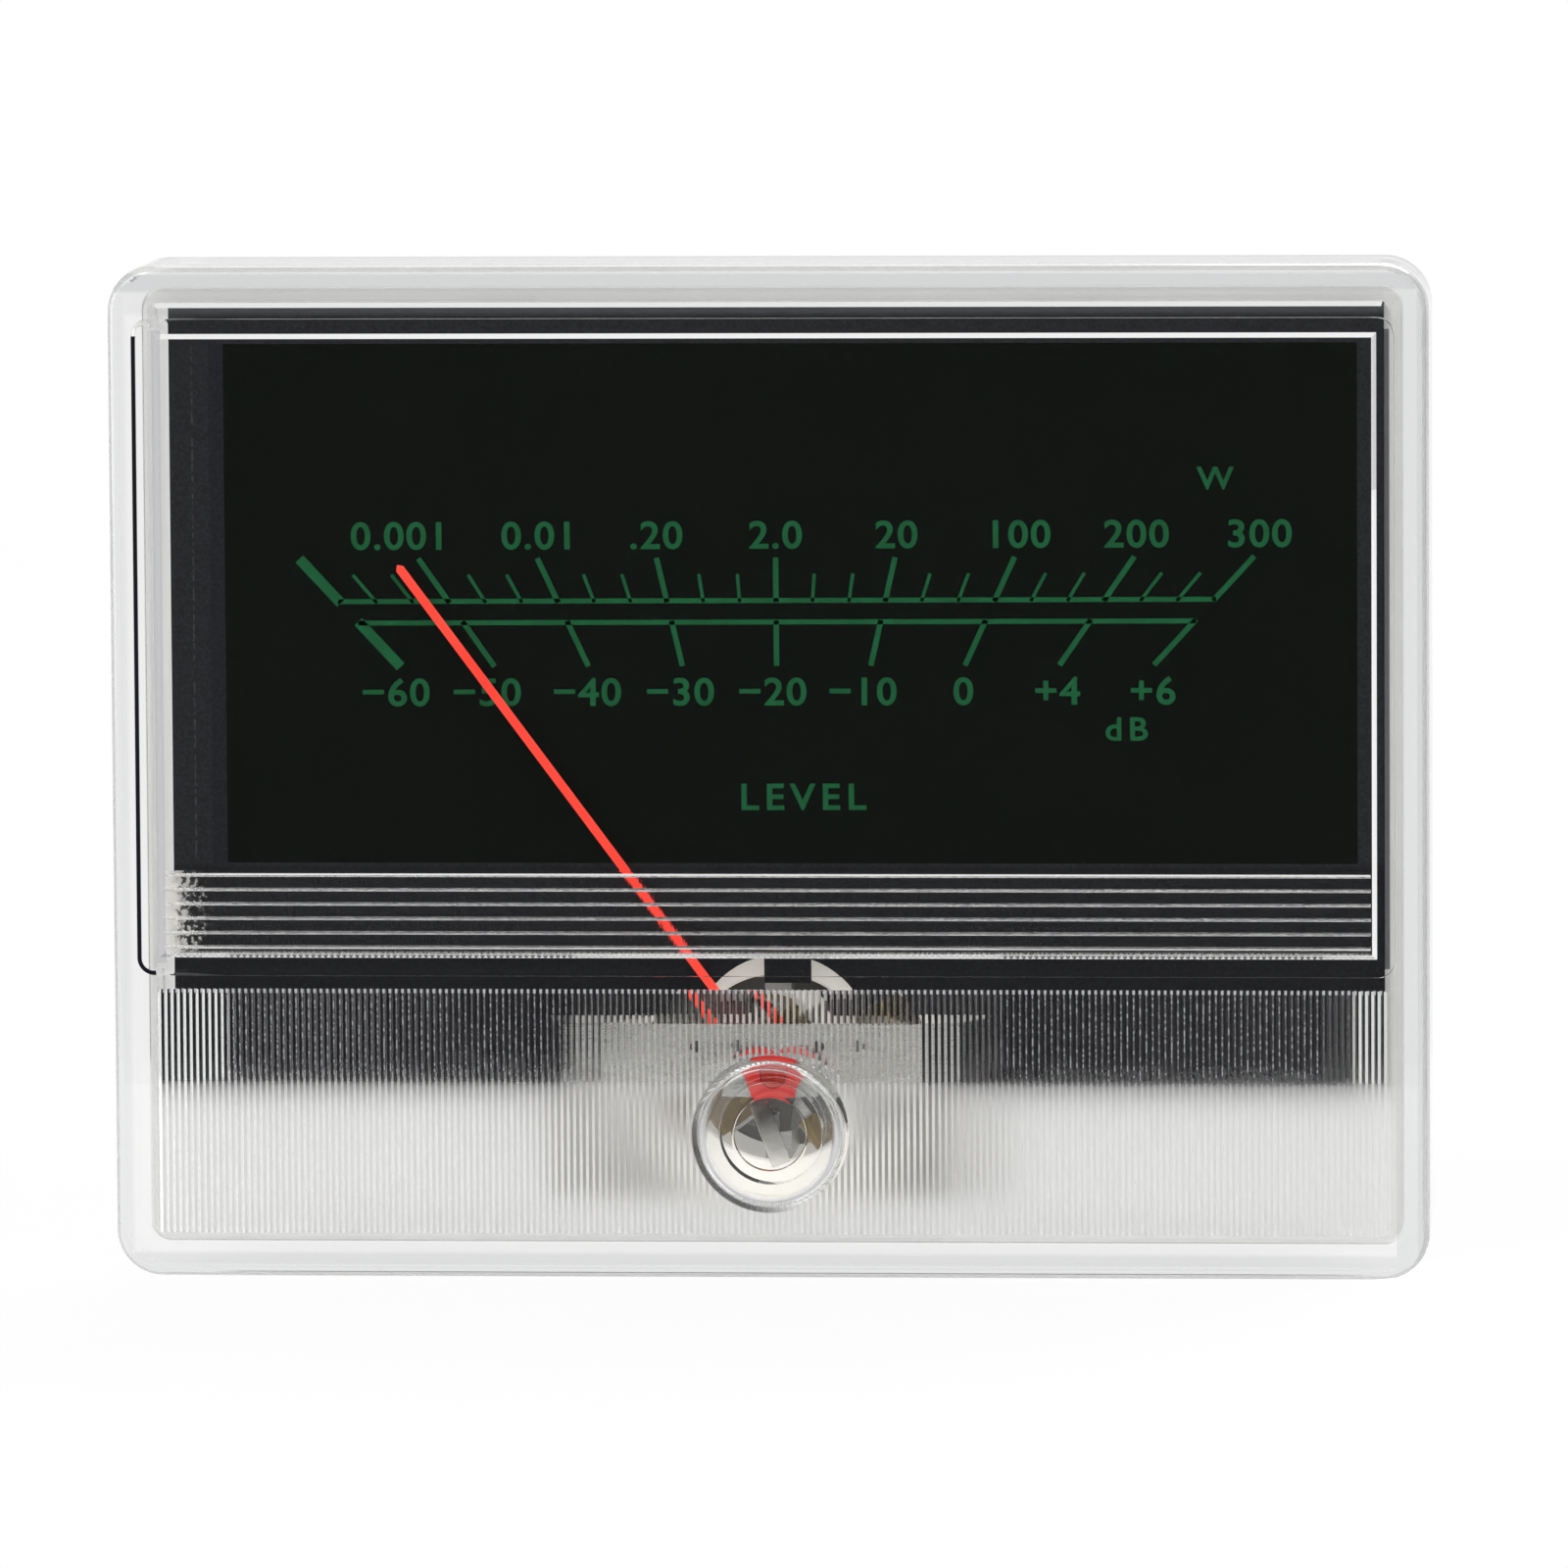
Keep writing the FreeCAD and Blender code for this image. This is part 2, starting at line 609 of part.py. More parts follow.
def make_rear_case():
    body = new_body("case_shell")
    flange = new_sketch(body, "flange_outline", "XZ_Plane", "rim_stand")
    centred(flange, "(%s - 2 * seat_gap)" % inside_width, "(%s - 2 * seat_gap)" % inside_height)
    rim = pad(body, flange, "flange", "flange_depth - rim_stand")
    fillet(body, rim, "flange_corners", edges_where(rim, along_y), "flange_corner")
    tray = new_sketch(body, "tray_outline", "XZ_Plane", "rim_stand")
    centred(tray, "body_width", "body_height")
    tub = pad(body, tray, "tray", "body_depth + rim_stand", to_back=True)
    back = size("body_depth")
    corners = edges_where(tub, lambda e: along_y(e) and max(v.Y for v in e.Vertexes) > back - 1e-6)
    tub = fillet(body, tub, "tray_corners", corners, "body_corner")
    tub = fillet(body, tub, "tray_back_edge", edges_where(tub, lambda e: at_y(e, back)),
                 limited("back_round", "body_corner"))
    hollow = new_sketch(body, "hollow_outline", "XZ_Plane", "flange_depth")
    centred(hollow, "(body_width - 2 * case_wall)", "(body_height - 2 * case_wall)")
    pit = pocket(body, hollow, "hollow", "flange_depth + body_depth - back_wall")
    inner_back = size("body_depth") - size("back_wall")
    corners = edges_where(pit,
                          lambda e: along_y(e) and abs(max(v.Y for v in e.Vertexes) - inner_back) < 1e-6)
    fillet(body, pit, "hollow_corners", corners, "body_corner - case_wall")

    aprons = new_sketch(body, "aprons_outline", "XZ_Plane", "flange_depth")
    outer, inner = "(body_width / 2 - case_wall / 2)", "(frame_half + apron_gap)"
    low, high = "-(body_height / 2 - case_wall / 2)", "-(dial_foot - apron_above)"
    rectangle(aprons, inner, outer, low, high, "a")
    rectangle(aprons, "-" + outer, "-" + inner, low, high, "b")
    pad(body, aprons, "aprons", "apron_thickness", to_back=True)

    floor = "-(body_depth - back_wall)"
    posts = new_sketch(body, "dial_posts_outline", "XZ_Plane", floor)
    circle(posts, "dial_post", "dial_post_span", "-dial_post_drop", "a")
    circle(posts, "dial_post", "-dial_post_span", "-dial_post_drop", "b")
    pad(body, posts, "dial_posts", "body_depth - back_wall + flange_depth")
    frame_posts = new_sketch(body, "frame_posts_outline", "XZ_Plane", floor)
    for tag, x, z in corner_places("frame_screw_x", "-pivot_drop", "frame_screw_z"):
        circle(frame_posts, "frame_post", x, z, tag)
    pad(body, frame_posts, "frame_posts", "body_depth - back_wall - frame_back")
    pilots = new_sketch(body, "pilot_outline", "XZ_Plane", "-frame_back")
    for tag, x, z in corner_places("frame_screw_x", "-pivot_drop", "frame_screw_z"):
        circle(pilots, "screw_shank", x, z, tag)
    pocket(body, pilots, "frame_pilots", "screw_bite")
    board_pilots = new_sketch(body, "board_pilot_outline", "XZ_Plane", floor)
    circle(board_pilots, "screw_shank", "board_screw_x", "board_height_z", "a")
    circle(board_pilots, "screw_shank", "-board_screw_x", "board_height_z", "b")
    pocket(body, board_pilots, "board_pilots", "board_bite")
    rests = new_sketch(body, "diffuser_posts_outline", "XZ_Plane", floor)
    rest_x = "(body_width / 2 - case_wall - diffuser_post * 2)"
    for tag, x, z in (("a", rest_x, diffuser_low), ("b", "-" + rest_x, diffuser_low),
                      ("c", rest_x, diffuser_high), ("d", "-" + rest_x, diffuser_high)):
        circle(rests, "diffuser_post", x, z, tag)
    pad(body, rests, "diffuser_posts", "body_depth - back_wall + flange_depth - diffuser_thickness")
    stud_pads = new_sketch(body, "stud_pads_outline", "XZ_Plane", "-body_depth")
    circle(stud_pads, "stud_pad_radius", "stud_spacing / 2", "-stud_height", "a")
    circle(stud_pads, "stud_pad_radius", "-stud_spacing / 2", "-stud_height", "b")
    pad(body, stud_pads, "stud_pads", "stud_pad_rise", to_back=True)
    holes = new_sketch(body, "stud_holes_outline", "XZ_Plane", "-stud_seat")
    circle(holes, "shank_radius", "stud_spacing / 2", "-stud_height", "a")
    circle(holes, "shank_radius", "-stud_spacing / 2", "-stud_height", "b")
    pocket(body, holes, "stud_holes", "back_wall + stud_pad_rise", to_front=True)
    plus = new_sketch(body, "plus_outline", "XZ_Plane", "-body_depth")
    cross_outline(plus, "stud_spacing / 2 + plus_offset", "-stud_height", "plus_size / 2", "plus_bar / 2")
    pad(body, plus, "plus_mark", "plus_rise", to_back=True)
    slots = new_sketch(body, "lamp_pin_holes_outline", "XZ_Plane", "-body_depth")
    for tag, side in (("a", "+"), ("b", "-")):
        middle = side + "lamp_pin_pitch / 2"
        rectangle(slots, middle + " - lamp_pin_half", middle + " + lamp_pin_half",
                  "board_height_z - lamp_pin_half", "board_height_z + lamp_pin_half", tag)
    pocket(body, slots, "lamp_pin_holes", "back_wall", to_front=True)
    return node(body, "rear_case")


def cross_outline(sketch, x, z, reach, half):
    """Upright cross, twelve corners, round a middle place."""
    signs = [(reach, half), (half, half), (half, reach)]
    corners = []
    for sx, sz, steps in ((1, 1, signs), (-1, 1, signs[::-1]), (-1, -1, signs), (1, -1, signs[::-1])):
        for dx, dz in steps:
            corners.append(("%s %s %s" % (x, "+" if sx > 0 else "-", dx),
                            "%s %s %s" % (z, "+" if sz > 0 else "-", dz)))
    polygon(sketch, corners)


def corner_places(x, middle, z):
    """Four places round a middle height, as (tag, x, z)."""
    return (("a", x, "%s + %s" % (middle, z)), ("b", "-" + x, "%s + %s" % (middle, z)),
            ("c", x, "%s - %s" % (middle, z)), ("d", "-" + x, "%s - %s" % (middle, z)))


diffuser_low = "(-diffuser_foot + diffuser_post * 2)"
diffuser_high = "(body_height / 2 - case_wall - diffuser_post * 2)"


# ------------------------------------------------------------------------- dial

def make_dial_plate():
    body = new_body("dial_sheet")
    outline = new_sketch(body, "dial_outline", "XZ_Plane", "flange_depth")
    polygon(outline, [("-dial_width / 2", "-dial_foot"), ("-notch_left", "-dial_foot"),
                      ("-notch_left", "-notch_top"), ("notch_right", "-notch_top"),
                      ("notch_right", "-dial_foot"), ("dial_width / 2", "-dial_foot"),
                      ("dial_width / 2", "dial_top"), ("-dial_width / 2", "dial_top")])
    pad(body, outline, "dial_pad", "dial_thickness")
    eye = new_sketch(body, "eye_outline", "XZ_Plane", "flange_depth + dial_thickness")
    circle(eye, "eye_radius", "eye_shift", "-eye_drop")
    pocket(body, eye, "eye_cut", "dial_thickness")
    tab = new_sketch(body, "tab_outline", "XZ_Plane", "flange_depth")
    eye_top = "(-eye_drop + eye_radius)"
    rectangle(tab, "eye_shift * 2 - tab_width / 2", "eye_shift * 2 + tab_width / 2",
              eye_top + " - tab_length", eye_top + " + dial_thickness / 2")
    pad(body, tab, "tab", "dial_thickness")
    return node(body, "dial_plate")


# --------------------------------------------------------------------- lighting

def make_lighting():
    board_y = ("body_depth - back_wall - board_thickness", "body_depth - back_wall")
    body = new_body("diffuser_sheet")
    outline = new_sketch(body, "diffuser_outline", "XZ_Plane", "flange_depth - diffuser_thickness")
    rectangle(outline, "-(body_width / 2 - case_wall - seat_gap)", "body_width / 2 - case_wall - seat_gap",
              "-diffuser_foot", "body_height / 2 - case_wall - seat_gap")
    sheet_pad = pad(body, outline, "diffuser_pad", "diffuser_thickness")
    fillet(body, sheet_pad, "diffuser_corners", edges_where(sheet_pad, along_y), "body_corner - case_wall")
    node(body, "light_diffuser")
    low = "board_height_z - board_height / 2"
    high = "board_height_z + board_height / 2"
    board = block("board_blank", ("-board_width / 2", "board_width / 2"), board_y, (low, high))
    holes = [rod("board_hole_%d" % i, "screw_shank", board_y, "%sboard_screw_x" % side, "board_height_z")
             for i, side in enumerate(("-", ""))]
    pin_holes = []
    pins = []
    for i, side in enumerate(("-", "")):
        middle = side + "lamp_pin_pitch / 2"
        span = (middle + " - lamp_pin_half", middle + " + lamp_pin_half")
        tall = ("board_height_z - lamp_pin_half", "board_height_z + lamp_pin_half")
        pin_holes.append(block("pin_hole_%d" % i, span, board_y, tall))
        pins.append(block("pin_%d" % i, span, (board_y[0] + " - board_thickness",
                                               "body_depth + lamp_pin_length"), tall))
    node(cut("board_drilled", board, *holes, *pin_holes), "lamp_board")
    # plastic spacer that carries the two pins on the outside of the case
    collar = block("header_block", ("-lamp_pin_pitch", "lamp_pin_pitch"),
                   ("body_depth", "body_depth + header_height"),
                   ("board_height_z - lamp_pin_pitch / 2", "board_height_z + lamp_pin_pitch / 2"))
    bored = cut("header_bored", collar, *[block("header_hole_%d" % i,
                                                (side + "lamp_pin_pitch / 2 - lamp_pin_half",
                                                 side + "lamp_pin_pitch / 2 + lamp_pin_half"),
                                                ("body_depth", "body_depth + header_height"),
                                                ("board_height_z - lamp_pin_half",
                                                 "board_height_z + lamp_pin_half"))
                                          for i, side in enumerate(("-", ""))])
    node(bored, "lamp_header")
    node(group("lamp_pins_pair", *pins), "lamp_pins")
    lamps = []
    for i, step in enumerate((-1.5, -0.5, 0.5, 1.5)):
        x = "lamp_pitch * %s" % step
        shoulder = board_y[0] + " - lamp_height + lamp_radius"
        base = rod("lamp_base_%d" % i, "lamp_radius", (shoulder, board_y[0]), x, "board_height_z")
        dome = doc.addObject("Part::Sphere", "lamp_dome_%d" % i)
        bind(dome, Radius="lamp_radius")
        place(dome, x, shoulder, "board_height_z")
        lamps.append(fuse("lamp_%d" % i, base, dome))
    node(group("lamp_row", *lamps), "lamps")
    node(group("board_screw_pair", *[make_screw("board_screw_%d" % i, "screw_shank", "screw_head",
                                                board_y[0], "board_thickness + board_bite - pilot_gap",
                                                side + "board_screw_x", "board_height_z")
                                     for i, side in enumerate(("-", ""))]), "board_screws")


def make_screw(name, shank, head, seat, bite, x, z):
    """Slotted screw driven from the front: its head sits in front of the seat."""
    top = "(%s) - screw_head_height" % seat
    dome = rod(name + "_head", head, (top, seat), x, z)
    stem = rod(name + "_shank", shank, (seat, "(%s) + %s" % (seat, bite)), x, z)
    slot = block(name + "_slot", ("%s - (%s)" % (x, head), "%s + (%s)" % (x, head)),
                 (top, top + " + screw_head_height / 2"),
                 ("%s - screw_slot / 2" % z, "%s + screw_slot / 2" % z))
    return cut(name, fuse(name + "_turned", dome, stem), slot)


# ---------------------------------------------------------------- magnet system

def make_magnet_system():
    axis = "-pivot_drop"
    ring_y = ("-ring_front", "frame_front")
    ring = cut("ring_cut", rod("ring_blank", "ring_outer", ring_y, z=axis),
               rod("ring_bore", "ring_inner", ring_y, z=axis))
    node(ring, "yoke_ring")
    core_y = ("-core_front", "core_length - core_front")
    node(rod("core", "core_radius", core_y, z=axis), "core_magnet")
    webs = []
    for i, (low, high) in enumerate((("-pivot_drop", "-pivot_drop + ring_outer"),
                                     ("-pivot_drop - ring_outer", "-pivot_drop"))):
        bar = block("web_bar_%d" % i, ("-web_width / 2", "web_width / 2"), core_y, (low, high))
        gap = cut("web_gap_%d" % i, rod("web_outer_%d" % i, "ring_inner", core_y, z=axis),
                  rod("web_inner_%d" % i, "core_radius", core_y, z=axis))
        webs.append(common("web_%d" % i, bar, gap))
    node(group("web_pair", *webs), "core_supports")

    body = new_body("frame_plate")
    outline = new_sketch(body, "frame_outline", "XZ_Plane", "-frame_back")
    rectangle(outline, "-frame_half", "frame_half", "-pivot_drop - frame_fall", "-pivot_drop + frame_rise")
    plate = pad(body, outline, "frame_pad", "frame_thickness")
    fillet(body, plate, "frame_corners", edges_where(plate, along_y), "frame_corner")
    holes = new_sketch(body, "frame_holes", "XZ_Plane", "-frame_front")
    circle(holes, "ring_inner", y=axis, tag="m")
    for tag, x, z in corner_places("frame_screw_x", "-pivot_drop", "frame_screw_z"):
        circle(holes, "screw_shank", x, z, tag)
    for tag, (x, z) in zip("ef", bridge_screw_places):
        circle(holes, "bridge_screw_shank", x, z, tag)
    for tag, (x, z) in zip("gh", rear_screw_places):
        circle(holes, "bridge_screw_shank", x, z, tag)
    pocket(body, holes, "frame_drilled", "frame_thickness")
    node(body, "movement_frame")
    screws = [make_screw("frame_screw_" + tag, "screw_shank", "screw_head", "frame_front",
                         "frame_thickness + screw_bite - pilot_gap", x, z)
              for tag, x, z in corner_places("frame_screw_x", "-pivot_drop", "frame_screw_z")]
    node(group("frame_screw_set", *screws), "frame_screws")


bridge_middle = "(-pivot_drop + (bridge_above - bridge_below) / 2)"
bridge_screw_places = (("-bridge_left + foot_reach / 2 + bridge_sheet / 2", bridge_middle),
                       ("bridge_right + foot_reach / 2 - bridge_sheet / 2", bridge_middle))
rear_screw_x = "(rear_bridge_span + foot_reach / 2 - bridge_sheet / 2)"
rear_screw_z = "-pivot_drop - (rear_bridge_half + rear_foot_drop) / 2"
rear_screw_places = (("-" + rear_screw_x, rear_screw_z), (rear_screw_x, rear_screw_z))


# ---------------------------------------------------------------------- bridges

def make_front_bridge():
    """Folded strip: face, two legs through the dial's notch and two feet."""
    body = new_body("front_bridge_strip")
    face = new_sketch(body, "bridge_face_outline", "XZ_Plane", "bridge_front - bridge_sheet")
    low, high = "-pivot_drop - bridge_below", "-pivot_drop + bridge_above"
    rectangle(face, "-bridge_left", "bridge_right", low, high)
    pad(body, face, "bridge_face", "bridge_sheet")
    legs = new_sketch(body, "bridge_legs_outline", "XZ_Plane", "bridge_front - bridge_sheet")
    rectangle(legs, "-bridge_left", "-bridge_left + bridge_sheet", low, high, "a")
    rectangle(legs, "bridge_right - bridge_sheet", "bridge_right", low, high, "b")
    pad(body, legs, "bridge_legs", "bridge_front - bridge_sheet + frame_front", to_back=True)
    feet = new_sketch(body, "bridge_feet_outline", "XZ_Plane", "-frame_front")
    rectangle(feet, "-bridge_left", "-bridge_left + foot_reach", low, high, "a")
    rectangle(feet, "bridge_right - bridge_sheet", "bridge_right - bridge_sheet + foot_reach", low, high,
              "b")
    pad(body, feet, "bridge_feet", "bridge_sheet")
    holes = new_sketch(body, "bridge_holes", "XZ_Plane", "-frame_front + bridge_sheet")
    for tag, (x, z) in zip("ab", bridge_screw_places):
        circle(holes, "bridge_screw_shank", x, z, tag)
    pocket(body, holes, "bridge_foot_holes", "bridge_sheet")
    eye = new_sketch(body, "bridge_eye", "XZ_Plane", "bridge_front")
    circle(eye, "jewel_barrel", y="-pivot_drop", tag="c")
    for tag, (x, z) in zip("ab", stop_places):
        circle(eye, "stop_radius", x, z, tag)
    pocket(body, eye, "bridge_eye_cut", "bridge_sheet")
    node(body, "front_bridge")
    screws = [make_screw("bridge_screw_%d" % i, "bridge_screw_shank", "bridge_screw_head",
                         "frame_front - bridge_sheet", "bridge_sheet + frame_thickness", x, z)
              for i, (x, z) in enumerate(bridge_screw_places)]
    node(group("bridge_screw_pair", *screws), "bridge_screws")
    stops = [rod("stop_%d" % i, "stop_radius", ("-bridge_front", stop_end), x, z)
             for i, (x, z) in enumerate(stop_places)]
    node(group("stop_pair", *stops), "pointer_stops")


stop_side = "stop_circle * sin(stop_angle * 1deg)"
stop_height = "-pivot_drop + stop_circle * cos(stop_angle * 1deg)"
stop_places = (("-" + stop_side, stop_height), (stop_side, stop_height))
needle_back = "(-flange_depth - dial_thickness - pointer_height)"
stop_end = needle_back + " + stop_reach"


def make_rear_bridge():
    axis = "-pivot_drop"
    low, high = axis + " - rear_foot_drop", axis + " + rear_bridge_above"
    over = "(%s + bridge_sheet)" % under
    face = block("rear_face", ("-rear_bridge_span", "rear_bridge_span"), (under, over),
                 (axis + " - rear_bridge_half", high))
    parts = [face]
    holes = [rod("rear_eye", "jewel_barrel", (under, over), z=axis),
             rod("rear_post_hole", "stop_radius", (under, over), z=rear_post_z)]
    screws = []
    for i, (side, (x, z)) in enumerate(zip((-1, 1), rear_screw_places)):
        inner = "rear_bridge_span - bridge_sheet"
        outer = "rear_bridge_span - bridge_sheet + foot_reach"
        leg_x = ("-rear_bridge_span", "-rear_bridge_span + bridge_sheet") if side < 0 else \
                (inner, "rear_bridge_span")
        foot_x = ("-(%s)" % outer, "-(%s)" % inner) if side < 0 else (inner, outer)
        foot_back = "frame_back + bridge_sheet"
        parts.append(block("rear_leg_%d" % i, leg_x, ("frame_back", over), (low, high)))
        parts.append(block("rear_foot_%d" % i, foot_x, ("frame_back", foot_back),
                           (low, axis + " - rear_bridge_half")))
        holes.append(rod("rear_foot_hole_%d" % i, "bridge_screw_shank", ("frame_back", foot_back), x, z))
        head = rod("rear_screw_head_%d" % i, "bridge_screw_head",
                   (foot_back, foot_back + " + screw_head_height"), x, z)
        shank = rod("rear_screw_shank_%d" % i, "bridge_screw_shank", ("frame_front", foot_back), x, z)
        screws.append(fuse("rear_screw_%d" % i, head, shank))
    node(cut("rear_bridge_drilled", fuse("rear_bridge_folded", *parts), *holes), "rear_bridge")
    node(group("rear_screw_pair", *screws), "rear_bridge_screws")
    node(rod("rear_post", "stop_radius", (rear_spring_front, over), z=rear_post_z), "rear_spring_post")


rear_post_z = "-pivot_drop + spring_outer + stop_radius"
coil_front = "(core_front + coil_end_gap + former_wall + winding_thickness)"
coil_back = "(core_length - core_front + coil_end_gap + former_wall + winding_thickness)"
rear_spring_front = "(%s + spring_room)" % coil_back
rear_spring_back = "(%s + spring_height)" % rear_spring_front
front_jewel_back = "(-hub_front - collet_length - cup_gap)"
rear_jewel_front = "(%s + spring_room)" % rear_spring_back
under = "(frame_back + rear_bridge_gap)"
arm_back = "(bridge_front + barrel_stand + arm_gap)"


def make_jewel_screws():
    axis = "-pivot_drop"
    bridge_back = "-bridge_front + bridge_sheet"
    barrel = rod("front_barrel", "jewel_barrel", ("-bridge_front - barrel_stand", front_jewel_back), z=axis)
    neck = rod("front_neck", "jewel_neck", ("-%s - arm_sheet - neck_stand" % arm_back, bridge_back), z=axis)
    pocket_tool = rod("front_jewel_pocket", "jewel_radius",
                      (front_jewel_back + " - jewel_length", front_jewel_back), z=axis)
    front = cut("front_barrel_bored", fuse("front_barrel_turned", barrel, neck), pocket_tool)
    node(front, "front_jewel_screw")
    rear_end = under + " + bridge_sheet + jewel_stand"
    rear = rod("rear_barrel", "jewel_barrel", (rear_jewel_front, rear_end), z=axis)
    rear_pocket = rod("rear_jewel_pocket", "jewel_radius",
                      (rear_jewel_front, rear_jewel_front + " + jewel_length"), z=axis)
    slot = block("rear_barrel_slot", ("-jewel_barrel", "jewel_barrel"),
                 (rear_end + " - jewel_slot_depth", rear_end),
                 (axis + " - screw_slot / 2", axis + " + screw_slot / 2"))
    node(cut("rear_barrel_bored", rear, rear_pocket, slot), "rear_jewel_screw")
    cup = "pivot_radius + cup_gap"
    front = cut("front_jewel",
                rod("front_jewel_blank", "jewel_radius",
                    (front_jewel_back + " - jewel_length", front_jewel_back), z=axis),
                rod("front_cup", cup, (front_jewel_back + " - cup_depth", front_jewel_back), z=axis))
    back = cut("back_jewel",
               rod("back_jewel_blank", "jewel_radius",
                   (rear_jewel_front, rear_jewel_front + " + jewel_length"), z=axis),
               rod("back_cup", cup, (rear_jewel_front, rear_jewel_front + " + cup_depth"), z=axis))
    node(group("jewel_pair", front, back), "bearing_jewels")


# --------------------------------------------------------------------- zero arm

def make_zero_arm():
    """Ring round the jewel screw, a fork for the adjuster's pin and a tang for the spring."""
    body = new_body("zero_arm_sheet")
    plate = new_sketch(body, "zero_arm_outline", "XZ_Plane", arm_back)
    fork = "(-adjuster_drop + eccentric - fork_overhang - pin_radius)"
    slot = "(pin_radius + run_gap)"
    slot_top = "(-adjuster_drop + eccentric + pin_radius + fork_gap)"
    polygon(plate, [("-arm_neck", "-pivot_drop"), ("-arm_foot", fork), ("-" + slot, fork),
                    ("-" + slot, slot_top), (slot, slot_top), (slot, fork), ("arm_foot", fork),
                    ("arm_neck", "-pivot_drop")])
    pad(body, plate, "zero_arm_tail", "arm_sheet")
    ring = new_sketch(body, "zero_arm_ring_outline", "XZ_Plane", arm_back)
    circle(ring, "arm_ring", y="-pivot_drop")
    pad(body, ring, "zero_arm_ring", "arm_sheet")
    bore = new_sketch(body, "zero_arm_bore_outline", "XZ_Plane", "%s + arm_sheet" % arm_back)
    circle(bore, "jewel_neck + run_gap", y="-pivot_drop")
    pocket(body, bore, "zero_arm_bore", "arm_sheet")
    tang = new_sketch(body, "zero_arm_tang_outline", "XZ_Plane", arm_back)
    top = "(-pivot_drop - spring_outer)"
    rectangle(tang, "-tang_width / 2", "tang_width / 2", top + " - tang_thickness", top)
    pad(body, tang, "zero_arm_tang", "%s - hub_front - run_gap" % arm_back, to_back=True)
    return node(body, "zero_arm")


# ------------------------------------------------------------------ hairsprings

points_per_turn = 16


def make_hairspring(name, front, turn):
    """Flat spiral strip round the pointer axis, its outer end at the given angle."""
    steps = int(points_per_turn * size("spring_turns"))
    inner, outer, half = size("spring_inner"), size("spring_outer"), size("spring_strip") / 2

    def ring_point(i, offset):
        share = i / steps
        angle = math.radians(turn) - 2 * math.pi * size("spring_turns") * (1 - share)
        radius = inner + (outer - 2 * half - inner) * share + offset + half
        return FreeCAD.Vector(radius * math.cos(angle), front, radius * math.sin(angle) - size("pivot_drop"))

    sides = []
    for offset in (-half, half):
        curve = Part.BSplineCurve()
        curve.interpolate([ring_point(i, offset) for i in range(steps + 1)])
        sides.append(curve.toShape())
    ends = [Part.makeLine(sides[0].Vertexes[k].Point, sides[1].Vertexes[k].Point) for k in (0, -1)]
    strip = Part.Face(Part.Wire(Part.__sortEdges__([sides[0], ends[1], sides[1], ends[0]])))
    item = doc.addObject("Part::Feature", name + "_spiral")
    item.Shape = strip.extrude(FreeCAD.Vector(0, size("spring_height"), 0))
    return node(item, name)


# ----------------------------------------------------------- pointer and coil

def turned(item):
    """Turn a piece of the moving system from upright to the pointer's place at rest."""
    item.Placement = FreeCAD.Placement(
        FreeCAD.Vector(0, 0, 0), FreeCAD.Rotation(FreeCAD.Vector(0, 1, 0), -size("pointer_lean")),
        FreeCAD.Vector(0, 0, -size("pivot_drop")))
    return item


def make_pointer():
    body = new_body("pointer_strip")
    needle = new_sketch(body, "needle_outline", "XZ_Plane", "-" + needle_back)
    root = "(-pivot_drop + hub_radius - hub_overlap)"
    tip = "(-pivot_drop + pointer_length)"
    shoulder = "(-pivot_drop + shoulder_reach)"
    polygon(needle, [("-pointer_root / 2", root), ("pointer_root / 2", root),
                     ("pointer_width / 2", shoulder), ("pointer_width / 2", tip + " - pointer_width / 2"),
                     ("0", tip), ("-pointer_width / 2", tip + " - pointer_width / 2"),
                     ("-pointer_width / 2", shoulder)])
    pad(body, needle, "needle", "pointer_thickness")
    bore = new_sketch(body, "needle_root_outline", "XZ_Plane", "-" + needle_back + " + pointer_thickness")
    circle(bore, "hub_radius", y="-pivot_drop")
    pocket(body, bore, "needle_root", "pointer_thickness")
    node(turned(body), "pointer_needle")

    axis = "-pivot_drop"
    hub_y = ("-hub_front", "-hub_back")
    arm_y = (needle_back + " - pointer_thickness", needle_back)
    disc = rod("hub_disc", "hub_radius", hub_y, z=axis)
    base = rod("hub_base", "pivot_base", ("-hub_back", "-" + coil_front), z=axis)
    hub = fuse("hub_turned", disc, base)
    hub = cut("hub_bored", hub, rod("hub_bore", "pivot_radius", ("-hub_front", "-hub_back"), z=axis))
    node(turned(hub), "pointer_hub")
    tail = block("tail_arm", ("-arm_width / 2", "arm_width / 2"), arm_y,
                 (axis + " - tail_length", axis))
    cross = block("side_arms", ("-side_arm", "side_arm"), arm_y,
                  (axis + " - arm_width / 2", axis + " + arm_width / 2"))
    arms = cut("arms_cut", fuse("arms_cross", tail, cross),
               rod("arms_bore", "hub_radius", (arm_y[0], arm_y[1]), z=axis))
    node(turned(arms), "balance_arms")


